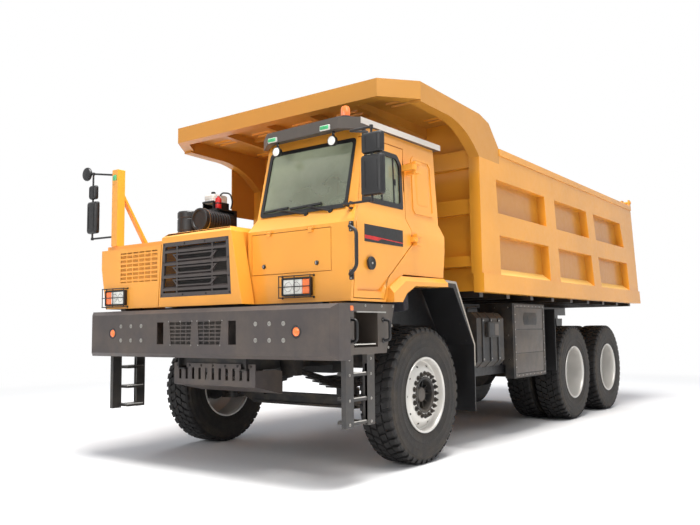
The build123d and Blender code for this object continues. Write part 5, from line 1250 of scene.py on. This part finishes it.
class TRUCK_OT_windows(bpy.types.Operator):
    """Builds the window rubbers, wipers and door window, and the strip and pad on the cab's upper side"""
    bl_idname = "dump_truck.windows"
    bl_label = "Windows"

    def execute(self, context):
        shape = Shape()
        windscreen(shape)
        rear_window(shape)
        strip_and_pad(shape)
        shape.piece("window_rubbers", "chassis", "black_plastic")
        door_window()
        return {"FINISHED"}


def windscreen(shape):
    """The windscreen's rubber, the dark band at its top, and both wipers."""
    outer = rectangle(0.455, 1.530, -0.010, 0.690, 0.05)
    inner = rectangle(0.490, 1.495, 0.030, 0.655, 0.04)
    shape.border(outer, inner, on_screen, -0.010, 0.005, "black")
    shape.plate(rectangle(0.480, 1.505, 0.545, 0.668), on_screen, -0.022, -0.012, "black")
    out = (0.0, *SCREEN_OUT)
    # columns: place of the wiper's spindle, and of both ends of its blade
    for x, low, high in ((1.058, 0.505, 0.820), (1.350, 0.850, 1.230)):
        spindle = (x, -0.030)
        shape.turned([(0.022, 0.0), (0.020, 0.018), (TIP, 0.020)], on_screen(spindle, 0.0), out, "black", 20)
        end = on_screen(((low + high) / 2, 0.052), 0.020)
        shape.rod(on_screen(spindle, 0.018), end, 0.009, "black", 10, 0.006)
        blade = [(low, 0.034), (high, 0.048), (high, 0.068), (low, 0.052)]
        shape.plate(blade, on_screen, 0.004, 0.020, "black")


def rear_window(shape):
    """The rubber round the cab's rear window."""
    def on_wall(p, w):
        return (p[0], 0.247 + w, p[1])

    outer = rectangle(0.540, 1.520, 2.500, 3.080, 0.06)
    inner = rectangle(0.565, 1.495, 2.525, 3.055, 0.05)
    shape.border(outer, inner, on_wall, 0.0, 0.010, "black")


def strip_and_pad(shape):
    """The pale strip along the roof visor's side, and the raised pad on the cab's rear quarter."""
    strip = [(1.634, -1.134), (1.6375, -1.136), (1.6625, 0.281), (1.658, 0.281)]
    shape.prism("z", strip, 3.229, 3.2875, "visor_side")
    shape.panel("x", rectangle(-0.165, 0.085, 2.585, 3.010, 0.040),
                [(-0.020, 1.598), (-0.012, 1.6175), (0.012, 1.6265), (0.030, 1.6275)], "yellow")


def door_window():
    """The door window's black frame, its pane, the bars of its sliding part and the catch."""
    shape = Shape()
    outline = [(-1.122, 2.512), (-1.050, 3.000), (-1.010, 3.050), (-0.500, 3.050), (-0.425, 2.960),
               (-0.425, 2.512)]
    hole = [(-1.072, 2.562), (-1.008, 2.982), (-0.986, 3.006), (-0.522, 3.006), (-0.470, 2.942),
            (-0.470, 2.562)]
    pane = round_loop(hole, 0.03)
    shape.border(round_loop(outline, 0.03), pane, on_side, -0.012, 0.003, "black")
    shape.plate(pane, on_side, -0.020, -0.014, "glass")
    for y in (-0.770, -0.560):
        shape.plate(rectangle(y - 0.009, y + 0.009, 2.560, 3.008), on_side, -0.014, -0.008, "black")
    shape.plate(rectangle(-0.556, -0.530, 2.74, 2.80), on_side, -0.014, -0.002, "black")
    shape.piece("door_window_frame", "door", "black_plastic", replaces=("door_window",))


class TRUCK_OT_cab_fittings(bpy.types.Operator):
    """Builds the door's stripe panel and lock, and the latches of the service lid"""
    bl_idname = "dump_truck.cab_fittings"
    bl_label = "Cab fittings"

    def execute(self, context):
        door_fittings()
        lid_latches()
        return {"FINISHED"}


def door_fittings():
    """The bare black panel with its red stripe, and the round lock."""
    shape = Shape()
    face = 1.700
    stripe = [(-1.187, 2.190), (-1.187, 2.158), (-0.975, 2.150), (-0.925, 2.172), (-0.556, 2.160),
              (-0.556, 2.168), (-0.950, 2.184)]
    shape.prism("x", rectangle(-1.190, -0.553, 2.131, 2.288), face - 0.002, face + 0.0015, "black")
    shape.prism("x", stripe, face, face + 0.0025, "red")
    lock = (1.6925, -1.089, 1.940)
    shape.turned([(0.060, 0.0), (0.060, 0.018), (0.054, 0.023), (0.040, 0.021), (0.030, 0.018), (TIP, 0.018)],
                 lock, OUT, "black", 44)
    shape.turned([(0.010, 0.016), (0.010, 0.024), (0.008, 0.026), (TIP, 0.026)], lock, OUT, "steel", 24)
    shape.piece("door_fittings", "door", "black_plastic", bevel=0.0006)


def lid_latches():
    """Two round latches with bright grips on the service lid."""
    shape = Shape()
    knob = [(0.021, 0.0), (0.021, 0.008), (0.018, 0.012), (TIP, 0.012)]
    for x in (0.632, 1.280):
        shape.turned(knob, (x, -1.346, 1.953), AHEAD, "black", 28)
        shape.box((x - 0.004, -1.362, 1.940), (x + 0.004, -1.354, 1.966), "chrome")
    shape.piece("lid_latches", "front_lid", "black_plastic")


class TRUCK_OT_deck_fittings(bpy.types.Operator):
    """Builds the air filter, pre-cleaner, coolant tank, red bottle and their hoses on the right deck"""
    bl_idname = "dump_truck.deck_fittings"
    bl_label = "Deck fittings"

    def execute(self, context):
        air_filter_set()
        coolant_tank()
        return {"FINISHED"}


def air_filter_set():
    """The lying ribbed filter on its block, the upright pre-cleaner, and the hose behind it."""
    shape = Shape()
    profile = [(TIP, 0.010), (0.098, 0.014), (0.104, 0.002), (0.112, 0.0), (0.124, 0.001), (0.131, 0.006),
               (0.134, 0.018), (0.134, 0.044)]
    crest, groove = 0.1275, 0.1225
    for k in range(9):
        rib = 0.060 + 0.040 * k
        profile += [(crest, rib), (crest, rib + 0.022), (groove, rib + 0.027), (groove, rib + 0.035)]
    profile += [(0.127, 0.430), (0.127, 0.462), (0.112, 0.472), (TIP, 0.472)]
    shape.turned(profile, (-0.870, -0.832, 2.620), BACK, "black", 56)
    shape.turned([(0.136, 0.0), (0.136, 0.014), (0.126, 0.014)], (-0.870, -0.780, 2.620), BACK, "steel", 56)
    shape.box((-0.960, -0.700, DECK_Z), (-0.780, -0.460, 2.505), "black")
    upright = [(0.136, 0.0), (0.138, 0.010), (0.138, 0.150), (0.133, 0.156), (0.133, 0.166), (0.138, 0.172),
               (0.138, 0.300), (0.133, 0.306), (0.133, 0.316), (0.138, 0.322), (0.138, 0.380), (0.126, 0.396),
               (TIP, 0.398)]
    shape.turned(upright, (-1.175, -0.700, DECK_Z), UP, "black", 56)
    shape.bolts([(-0.960, y, 2.42) for y in (-0.640, -0.520)], (-1, 0, 0), radius=0.009, height=0.007)
    shape.pipe([(-1.175, -0.600, 2.560), (-1.175, -0.430, 2.560), (-1.060, -0.400, 2.600),
                (-0.960, -0.420, 2.620)], 0.045, "black", 20, 0.10)
    shape.piece("air_filter_set", "chassis", "black_plastic", replaces=("air_filters",))


def coolant_tank():
    """The white coolant tank on its rack, the red bottle beside it, and a hose."""
    shape = Shape()
    shape.box((-1.040, -0.340, DECK_Z), (-0.790, -0.302, 2.760), "black")
    shape.box((-1.060, -0.620, 2.752), (-0.790, -0.300, 2.770), "black")
    for x in (-1.046, -0.876):
        shape.box((x - 0.006, -0.606, 2.768), (x + 0.006, -0.354, 2.862), "black")
    shape.box((-1.052, -0.612, 2.846), (-0.870, -0.600, 2.868), "black")
    shape.panel("z", rectangle(-1.043, -0.879, -0.598, -0.362, 0.030),
                [(0.010, 2.841), (0.0, 2.852), (0.0, 2.882), (0.003, 2.886), (0.003, 2.892), (0.0, 2.896),
                 (0.0, 2.936), (0.014, 2.954), (0.040, 2.958)], "white")
    shape.turned([(0.018, 0.0), (0.018, 0.014), (0.026, 0.018), (0.026, 0.036), (0.020, 0.042), (TIP, 0.042)],
                 (-0.985, -0.500, 2.954), UP, "black", 32)
    shape.turned([(0.034, 0.0), (0.036, 0.006), (0.036, 0.110), (0.028, 0.128), (0.014, 0.136),
                  (0.014, 0.150), (TIP, 0.150)], (-0.834, -0.560, 2.770), UP, "red", 32)
    shape.turned([(0.0365, 0.0), (0.0365, 0.016), (0.030, 0.016)], (-0.834, -0.560, 2.826), UP, "black", 32)
    shape.pipe([(-0.890, -0.480, 2.946), (-0.860, -0.470, 2.975), (-0.770, -0.430, 2.965),
                (-0.752, -0.410, 2.860), (-0.800, -0.390, 2.790)], 0.009, "black", 12, 0.06)
    shape.piece("coolant_tank", "chassis", "white_plastic", replaces=("expansion_tank",))


class TRUCK_OT_front_fittings(bpy.types.Operator):
    """Adds the bolts and the wire meshes of the bumper, the grille and the right cooling window"""
    bl_idname = "dump_truck.front_fittings"
    bl_label = "Front fittings"

    def execute(self, context):
        shape = Shape()
        bumper_bolts(shape)
        cooling_meshes(shape)
        grille_bolts(shape)
        shape.piece("front_bolts_and_mesh", "chassis", "chassis_paint")
        return {"FINISHED"}


def bumper_bolts(shape):
    """The large bolts at the bumper's ends and the small ones round its barred windows."""
    face = -1.652
    ends = [(side * x, face, z) for side in SIDES for x in (0.810, 0.979, 1.146) for z in (1.261, 1.408)]
    shape.bolts(ends, AHEAD, "steel", 0.015, 0.008)
    spots = ((0.036, 1.447), (0.208, 1.447), (0.380, 1.447), (0.050, 1.215), (0.354, 1.215))
    windows = [(side * x, face + 0.002, z) for side in SIDES for x, z in spots]
    shape.bolts(windows, AHEAD, "steel", 0.007, 0.004)


def cooling_meshes(shape):
    """Wire behind the bumper's windows, the grille's slots and the right fender's vent."""
    # columns: middle, half width, depth, bottom, top, pitch, wire's radius, finish
    for row in ((-0.208, 0.160, -1.6455, 1.222, 1.442, 0.012, 0.0013, "chassis"),
                (0.208, 0.160, -1.6455, 1.222, 1.442, 0.012, 0.0013, "chassis"),
                (-0.150, 0.455, -1.504, 1.745, 2.217, 0.016, 0.0013, "chassis"),
                (-1.0265, 0.305, -1.522, 1.884, 2.201, 0.0135, 0.0024, "yellow")):
        wire_mesh(shape, *row)


def grille_bolts(shape):
    """The bolts in the grille's rim and along the skid plate's top."""
    rim = [(-0.650, 1.721), (-0.640, 1.880), (-0.630, 2.060), (-0.614, 2.241), (-0.300, 2.241),
           (0.000, 2.241), (0.316, 2.241), (0.330, 2.060), (0.341, 1.880), (0.350, 1.721), (0.020, 1.721),
           (-0.320, 1.721)]
    shape.bolts([(x, -1.528, z) for x, z in rim], AHEAD, "chassis", 0.008, 0.004)
    plate = [(x, -1.410, 1.008) for x in (-0.52, -0.34, -0.17, 0.0, 0.17, 0.34, 0.52)]
    shape.bolts(plate, AHEAD, "chassis", 0.010, 0.006)


def wire_mesh(shape, middle, half, y, low, high, pitch, radius, finish):
    """Crossed wires in an upright plane."""
    count = int(2 * half / pitch)
    uprights = [((middle - half + (k + 0.5) * pitch, y, low), UP) for k in range(count)]
    shape.scatter("bars", uprights, finish, radius=radius, length=high - low)
    rows = int((high - low) / pitch)
    level = [((middle - half, y, low + (k + 0.5) * pitch), OUT) for k in range(rows)]
    shape.scatter("bars", level, finish, radius=radius, length=2 * half)


class TRUCK_OT_side_fittings(bpy.types.Operator):
    """Adds step teeth, arch sheets, guard-edge strips painted as highlight, cabinet panels, tank straps and
    the body's pressings
    """
    bl_idname = "dump_truck.side_fittings"
    bl_label = "Side fittings"

    def execute(self, context):
        shape = Shape()
        for side in SIDES:
            step_teeth(shape, side)
            step_bolts(shape, side)
            arch_sheet(shape, side)
        side_marker(shape)
        guard_highlights_and_bolts(shape)
        shape.piece("step_teeth_and_trims", "chassis", "chassis_paint")
        cabinet_panels()
        tank_fittings()
        body_pressings()
        return {"FINISHED"}


def step_teeth(shape, side):
    """The gripping teeth of the ladder's treads and of the module's step."""
    radius, height = 0.0075, 0.011
    for z in (0.955, 0.738, 0.535):
        for x in (1.478, 1.632):
            row = [((side * x, -1.306 + 0.0125 * k, z + 0.011), UP) for k in range(17)]
            shape.scatter("teeth", row, "steel", radius=radius, height=height)
    row = [((side * 1.640, -1.286 + 0.0150 * k, 1.213), UP) for k in range(23)]
    shape.scatter("teeth", row, "steel", radius=radius, height=height)


def step_bolts(shape, side):
    """The bolts of the ladder and of the step module, and the bare strip over the module's recess."""
    way = (side, 0, 0)
    ladder = [(side * 1.645, y, z) for y in (-1.362, -1.040) for z in (0.535, 0.738, 0.955, 1.090)]
    shape.bolts(ladder, way, "steel", 0.009, 0.006)
    spots = ((-1.392, 1.150), (-1.392, 1.300), (-1.392, 1.560), (-1.120, 1.560),
             (-0.860, 1.560), (-0.670, 1.560), (-0.700, 1.380), (-0.760, 1.180))
    shape.bolts([(side * MODULE_X, y, z) for y, z in spots], way, "steel", 0.009, 0.005)
    low, high = sorted((side * MODULE_X, side * 1.657))
    shape.box((low, -1.262, 1.498), (high, -0.800, 1.510), "steel")


def arch_sheet(shape, side):
    """The dark sheet that closes the arch behind a front wheel."""
    low, high = sorted((side * 1.195, side * 1.201))
    outline = [(0.152, 1.385), (0.152, 1.800), (0.625, 1.815), (0.985, 1.200), (0.860, 1.200), (0.800, 1.385)]
    shape.prism("x", outline, low, high, "black")


def side_marker(shape):
    """The amber marker on the left step module."""
    shape.panel("x", rectangle(-1.360, -1.318, 1.513, 1.555, 0.010),
                [(0.0, 1.648), (0.0, 1.662), (0.005, 1.667)], "amber")


def guard_highlights_and_bolts(shape):
    """Pale strips along the edges of the front guards, painted highlight where the sloped tops catch the sky,
    and the guards' bolts.
    """
    trim = [(0.262, 1.8625), (0.601, 1.8515), (1.0125, 1.166), (1.0065, 0.930), (0.988, 0.930),
            (0.988, 1.160), (0.588, 1.826), (0.262, 1.836)]
    # Pale strips on the guards' edges as painted highlight
    for low, high in ((1.612, 1.642), (-1.642, -1.612)):
        shape.prism("x", trim, low, high, "pale_trim")
    guard = [(0.640, 1.640), (0.800, 1.400), (0.930, 1.210)]
    bolts = [(x, y + 0.02, z) for x in (1.300, 1.560) for y, z in guard]
    shape.bolts(bolts, (0.0, -0.83, -0.55), "chassis", 0.009, 0.006)


def cabinet_panels():
    """The cabinet's framed side with three panels, rivets and a blank plate, and its front bolts."""
    face = 1.606

    def on_face(p, w):
        return (face + w, p[0], p[1])

    shape = Shape()
    outer, inner = rectangle(2.172, 3.128, 0.732, 1.638), rectangle(2.205, 3.095, 0.765, 1.605)
    shape.border(outer, inner, on_face, -0.004, 0.002, "trim")
    for low, high in ((0.775, 1.020), (1.030, 1.320), (1.330, 1.595)):
        shape.panel("x", rectangle(2.216, 3.084, low, high, 0.012),
                    [(0.0, 1.599), (0.0, 1.602), (0.004, 1.604)], "trim")
    rivets = [(face + 0.002, y, 0.76 + 0.094 * k) for y in (2.189, 3.111) for k in range(10)]
    rivets += [(face + 0.002, 2.26 + 0.12 * k, z) for k in range(8) for z in (0.749, 1.621)]
    shape.bolts(rivets, OUT, "steel", 0.0055, 0.003)
    plate = [(2.47, 1.38), (2.86, 1.38), (2.90, 1.46), (2.86, 1.54), (2.47, 1.54), (2.43, 1.46)]
    shape.panel("x", round_loop(plate, 0.03), [(0.0, 1.602), (0.0, 1.606), (0.004, 1.608)], "chassis")
    front = [(x, 2.129, z) for x in (1.360, 1.540) for z in (0.95, 1.25, 1.60)]
    shape.bolts(front, AHEAD, "steel", 0.007, 0.004)
    shape.piece("cabinet_panels", "chassis", "grey_paint", bevel=0.0008)


def tank_fittings():
    """The fuel tank's straps, the two-part box on its side, its cap and its pipe."""
    shape = Shape()
    side = 1.582
    for y in (1.350, 1.560, 1.770):
        shape.box((side - 0.006, y - 0.022, 0.955), (side, y + 0.022, 1.462), "black")
        shape.bolts([(side, y, 0.985), (side, y, 1.435)], OUT, "steel", 0.008, 0.006)
    shape.panel("x", rectangle(1.420, 1.700, 1.240, 1.420, 0.012),
                [(0.0, 1.577), (0.0, 1.612), (0.006, 1.618)], "chassis")
    shape.panel("x", rectangle(1.440, 1.560, 1.262, 1.398, 0.006), [(0.0, 1.616), (0.0, 1.621)], "black")
    shape.panel("x", rectangle(1.580, 1.680, 1.262, 1.398, 0.006), [(0.0, 1.616), (0.0, 1.620)], "trim")
    shape.turned([(0.048, 0.0), (0.052, 0.006), (0.052, 0.030), (0.044, 0.036), (TIP, 0.036)],
                 (1.300, 1.400, 1.530), UP, "black", 32)
    shape.pipe([(1.400, 1.300, 1.525), (1.400, 1.300, 1.580), (1.380, 1.620, 1.600), (1.250, 1.900, 1.590),
                (1.150, 2.100, 1.560)], 0.016, "black", 12, 0.08)
    shape.piece("tank_straps_and_box", "chassis", "black_plastic", bevel=0.0015)


def body_pressings():
    """The steep ledges at the foot of the body's lower bays, in a paler yellow that is painted highlight, and
    the pressings under the canopy.
    """
    shape = Shape()
    # The ledges' sloped faces get the paler yellow as painted highlight
    slope = ((1.6555, 1.998), (1.6555, 2.052), (1.7665, 1.963), (1.7665, 1.956))
    for side in SIDES:
        section = [(side * x, z) for x, z in slope]
        for front, rear in ((1.474, 3.034), (3.396, 4.819), (5.141, 6.669)):
            shape.prism("y", section, front, rear, "ledge")
    sheet = 3.768
    for x in (-1.330, -0.655, 0.0, 0.655, 1.330):
        for y in (-0.020, 0.090, 0.780, 0.880):
            section = [(y - 0.014, sheet), (y - 0.007, sheet - 0.020),
                       (y + 0.007, sheet - 0.020), (y + 0.014, sheet)]
            shape.prism("x", section, x - 0.150, x + 0.150, "dump")
    shape.piece("body_pressings", "bed", "yellow_paint")


class TRUCK_OT_cab_inside(bpy.types.Operator):
    """Builds the padded seat, the dashboard and the steering wheel"""
    bl_idname = "dump_truck.cab_inside"
    bl_label = "Cab inside"

    def execute(self, context):
        padded_seat()
        dashboard()
        return {"FINISHED"}


def padded_seat():
    """The seat's cushion and its leaning back, both padded, on a plain base."""
    cushion = crowned_pad((1.010, 1.500), (-0.760, -0.260), 2.030, 2.150, 0.030)
    pad = cushion.piece("seat_cushion", "chassis", "seat_fabric", replaces=("seat",))
    lean = Matrix.Translation((0.0, -0.300, 2.150)) @ Matrix.Rotation(math.radians(-79.0), 4, "X")
    back = crowned_pad((1.030, 1.480), (0.010, 0.650), 0.000, 0.100, 0.028, lean)
    pad = back.piece("seat_back", "chassis", "seat_fabric")
    base = Shape()
    base.box((1.080, -0.700, 1.916), (1.430, -0.330, 2.028), "cabin")
    base.piece("seat_base", "chassis", "black_plastic", bevel=0.006)


def dashboard():
    """The dashboard, the steering column and the wheel with four spokes."""
    shape = Shape()
    outline = [(-1.268, 2.062), (-1.268, 2.290), (-1.140, 2.398), (-0.962, 2.398), (-0.932, 2.300),
               (-1.012, 2.062)]
    shape.prism("x", outline, 0.468, 1.540, "cabin")
    x = 1.255
    shape.rod((x, -1.080, 2.200), (x, -0.840, 2.460), 0.030, "cabin", 20)
    way = Vector((0.0, 0.250, 0.270)).normalized()
    turn = Matrix.Translation((x, -0.830, 2.470)) @ way.to_track_quat("X", "Z").to_matrix().to_4x4()
    wheel_radius, rim_radius = 0.202, 0.013
    angles = [2 * math.pi * k / 10 for k in range(10)]
    rim = [(wheel_radius + rim_radius * math.cos(a), rim_radius * math.sin(a)) for a in angles]
    shape.lathe(rim, 48, "black", turn)
    shape.lathe([(0.055, -0.012), (0.052, 0.010), (TIP, 0.014)], 28, "black", turn, closed=False)
    for k in range(4):
        a = math.pi / 2 * k + math.pi / 4
        start, end = [turn @ Vector((0.0, r * math.sin(a), r * math.cos(a))) for r in (0.03, 0.198)]
        shape.rod(start, end, 0.010, "black", 10)
    shape.piece("dash_and_wheel", "chassis", "black_plastic", bevel=0.004, replaces=("dashboard",))


def crowned_pad(xs, ys, low, high, crown, turn=None):
    """A stuffed pad: rings that swell over its edge and a top that rises, with sewn channels across it."""
    shape = Shape()
    (x0, x1), (y0, y1) = xs, ys
    edge = pad_edge(x0, x1, y0, y1)
    mid = Vector(((x0 + x1) / 2, (y0 + y1) / 2))
    half = Vector(((x1 - x0) / 2, (y1 - y0) / 2))
    channels = 5.0

    def ring(share, z, rise):
        """The pad's edge drawn in to a share of its size, at a height."""
        points = []
        for p in edge:
            u, v = (p[0] - mid.x) / half.x, (p[1] - mid.y) / half.y
            pull = 1.0 - 0.055 * (abs(u) * abs(v)) ** 3
            x, y = mid.x + (p[0] - mid.x) * share * pull, mid.y + (p[1] - mid.y) * share * pull
            across = (y - y0) / (y1 - y0) * channels
            seam = -0.008 * max(0.0, 1.0 - 8.0 * abs(across - round(across)))
            points.append((x, y, z + rise * (1.0 - share ** 2) + (seam if rise else 0.0)))
        return points

    deep = high - low
    rings = [ring(0.30, low, 0.0), ring(0.94, low, 0.0), ring(0.985, low + deep * 0.12, 0.0),
             ring(1.0, low + deep * 0.40, 0.0), ring(0.995, low + deep * 0.62, 0.0),
             ring(0.965, high - deep * 0.10, 0.0)]
    for share in (0.93, 0.88, 0.82, 0.74, 0.64, 0.52, 0.40, 0.28, 0.16, 0.06):
        rings.append(ring(share, high - deep * 0.04, crown))
    shape.loft(rings, "cloth", turn)
    return shape


def pad_edge(x0, x1, y0, y1):
    """Points along the four sides of a pad."""
    cells = 28
    edge = []
    for k in range(4 * cells):
        side, t = divmod(k, cells)
        t /= cells
        edge.append([(x0 + (x1 - x0) * t, y0), (x1, y0 + (y1 - y0) * t),
                     (x1 - (x1 - x0) * t, y1), (x0, y1 - (y1 - y0) * t)][side])
    return edge


# The photograph's camera: its focal length and width in pixels, its place in truck coordinates, and
# its turn from the truck's front, its tilt and its roll in degrees
FOCAL_PIXELS = 735.04
PHOTO_WIDTH = 700.0
CAMERA_PLACE = (5.4524, -6.4863, 1.3528)
CAMERA_ANGLES = (36.476, -5.174, -0.664)


class TRUCK_OT_camera(bpy.types.Operator):
    """Places the camera at the photograph's viewpoint"""
    bl_idname = "dump_truck.camera"
    bl_label = "Camera"

    def execute(self, context):
        data = bpy.data.cameras.new("camera")
        data.sensor_width = 36.0
        data.lens = FOCAL_PIXELS / PHOTO_WIDTH * 36.0
        data.clip_start = 0.1
        data.clip_end = 500.0
        camera = bpy.data.objects.new("camera", data)
        azimuth, elevation, roll = (math.radians(a) for a in CAMERA_ANGLES)
        back = Vector((math.sin(azimuth) * math.cos(elevation), -math.cos(azimuth) * math.cos(elevation),
                       math.sin(elevation)))
        right = (-back).cross(Vector(UP)).normalized()
        up = right.cross(-back)
        turned_right = math.cos(roll) * right + math.sin(roll) * up
        turned_up = -math.sin(roll) * right + math.cos(roll) * up
        turn = Matrix((turned_right, turned_up, back)).transposed().to_4x4()
        x, y, z = CAMERA_PLACE
        camera.matrix_world = Matrix.Translation((x, y - ORIGIN_Y, z)) @ turn
        context.scene.collection.objects.link(camera)
        context.scene.camera = camera
        return {"FINISHED"}


# The soft lights, as name, place, what they face, size, strength and colour
LIGHTS = (
    ("key_light", (9.0, -6.5, 10.0), (0.0, 0.0, 1.5), 6.0, 390.0, (1.0, 0.98, 0.94)),
    ("front_light", (1.0, -13.0, 5.0), (0.0, -2.0, 1.5), 6.0, 270.0, (1.0, 0.98, 0.96)),
    ("top_light", (2.0, -3.5, 12.5), (0.0, -0.5, 0.0), 7.0, 2900.0, (1.0, 0.99, 0.97)),
    ("back_light", (-9.0, 9.0, 7.0), (0.0, 0.0, 1.5), 6.0, 600.0, (0.95, 0.97, 1.0)),
)


class TRUCK_OT_stage(bpy.types.Operator):
    """Builds the pale floor, the soft lights and the white surroundings"""
    bl_idname = "dump_truck.stage"
    bl_label = "Stage"

    def execute(self, context):
        lay_floor(context)
        for row in LIGHTS:
            hang_light(context, *row)
        surround(context)
        context.scene.view_settings.view_transform = "Standard"
        return {"FINISHED"}


def lay_floor(context):
    """A wide round floor just below the tyres."""
    radius, sides, z = 60.0, 64, -0.001
    ring = [(radius * math.cos(2 * math.pi * k / sides), radius * math.sin(2 * math.pi * k / sides), z)
            for k in range(sides)]
    mesh = bpy.data.meshes.new("studio_floor")
    mesh.from_pydata(ring, [], [tuple(range(sides))])
    mesh.materials.append(studio_floor())
    floor = bpy.data.objects.new("studio_floor", mesh)
    context.scene.collection.objects.link(floor)


def hang_light(context, name, place, target, size, strength, tone):
    """One round area light that faces its target."""
    data = bpy.data.lights.new(name, "AREA")
    data.shape = "DISK"
    data.size = size
    data.energy = strength
    data.color = tone
    light = bpy.data.objects.new(name, data)
    way = Vector(target) - Vector(place)
    light.matrix_world = Matrix.Translation(place) @ way.to_track_quat("-Z", "Y").to_matrix().to_4x4()
    context.scene.collection.objects.link(light)


def surround(context):
    """Surroundings that are white to look at and dimmer where they light the truck."""
    world = bpy.data.worlds.new("studio")
    world.use_nodes = True
    f = Graph(world.node_tree)
    dim = f.node("ShaderNodeBackground", sockets={"Color": (0.86, 0.90, 1.0, 1.0), "Strength": 0.36})
    white = f.node("ShaderNodeBackground", sockets={"Color": (1.0, 1.0, 1.0, 1.0), "Strength": 1.0})
    mixed = f.node("ShaderNodeMixShader", sockets={0: background_rays(f), 1: dim, 2: white})
    f.node("ShaderNodeOutputWorld", sockets={"Surface": mixed})
    context.scene.world = world


class TRUCK_PT_panel(bpy.types.Panel):
    """Lists the truck's sizes, colours and build steps"""
    bl_idname = "TRUCK_PT_panel"
    bl_label = "Dump truck"
    bl_space_type = "VIEW_3D"
    bl_region_type = "UI"
    bl_category = "Dump truck"

    def draw(self, context):
        """Shows every size and colour, and a button for each step."""
        for group in (context.scene.dump_truck_sizes, context.scene.dump_truck_colours):
            for name in group.__annotations__:
                self.layout.prop(group, name)
        for operator in OPERATORS:
            self.layout.operator(operator.bl_idname)


OPERATORS = (TRUCK_OT_finishes, TRUCK_OT_tyres, TRUCK_OT_wheels, TRUCK_OT_lamps, TRUCK_OT_mirrors,
             TRUCK_OT_handles, TRUCK_OT_windows, TRUCK_OT_cab_fittings, TRUCK_OT_deck_fittings,
             TRUCK_OT_front_fittings, TRUCK_OT_side_fittings, TRUCK_OT_cab_inside, TRUCK_OT_camera,
             TRUCK_OT_stage)
CLASSES = (TruckSizes, TruckColours, *OPERATORS, TRUCK_PT_panel)


def register():
    """Adds the classes and the scene's sizes and colours."""
    for cls in CLASSES:
        bpy.utils.register_class(cls)
    bpy.types.Scene.dump_truck_sizes = PointerProperty(type=TruckSizes)
    bpy.types.Scene.dump_truck_colours = PointerProperty(type=TruckColours)


def unregister():
    """Takes them away again."""
    del bpy.types.Scene.dump_truck_colours
    del bpy.types.Scene.dump_truck_sizes
    for cls in reversed(CLASSES):
        bpy.utils.unregister_class(cls)


def main():
    """Builds everything in order."""
    register()
    for operator in OPERATORS:
        group, name = operator.bl_idname.split(".")
        getattr(getattr(bpy.ops, group), name)()


if __name__ == "__main__":
    main()
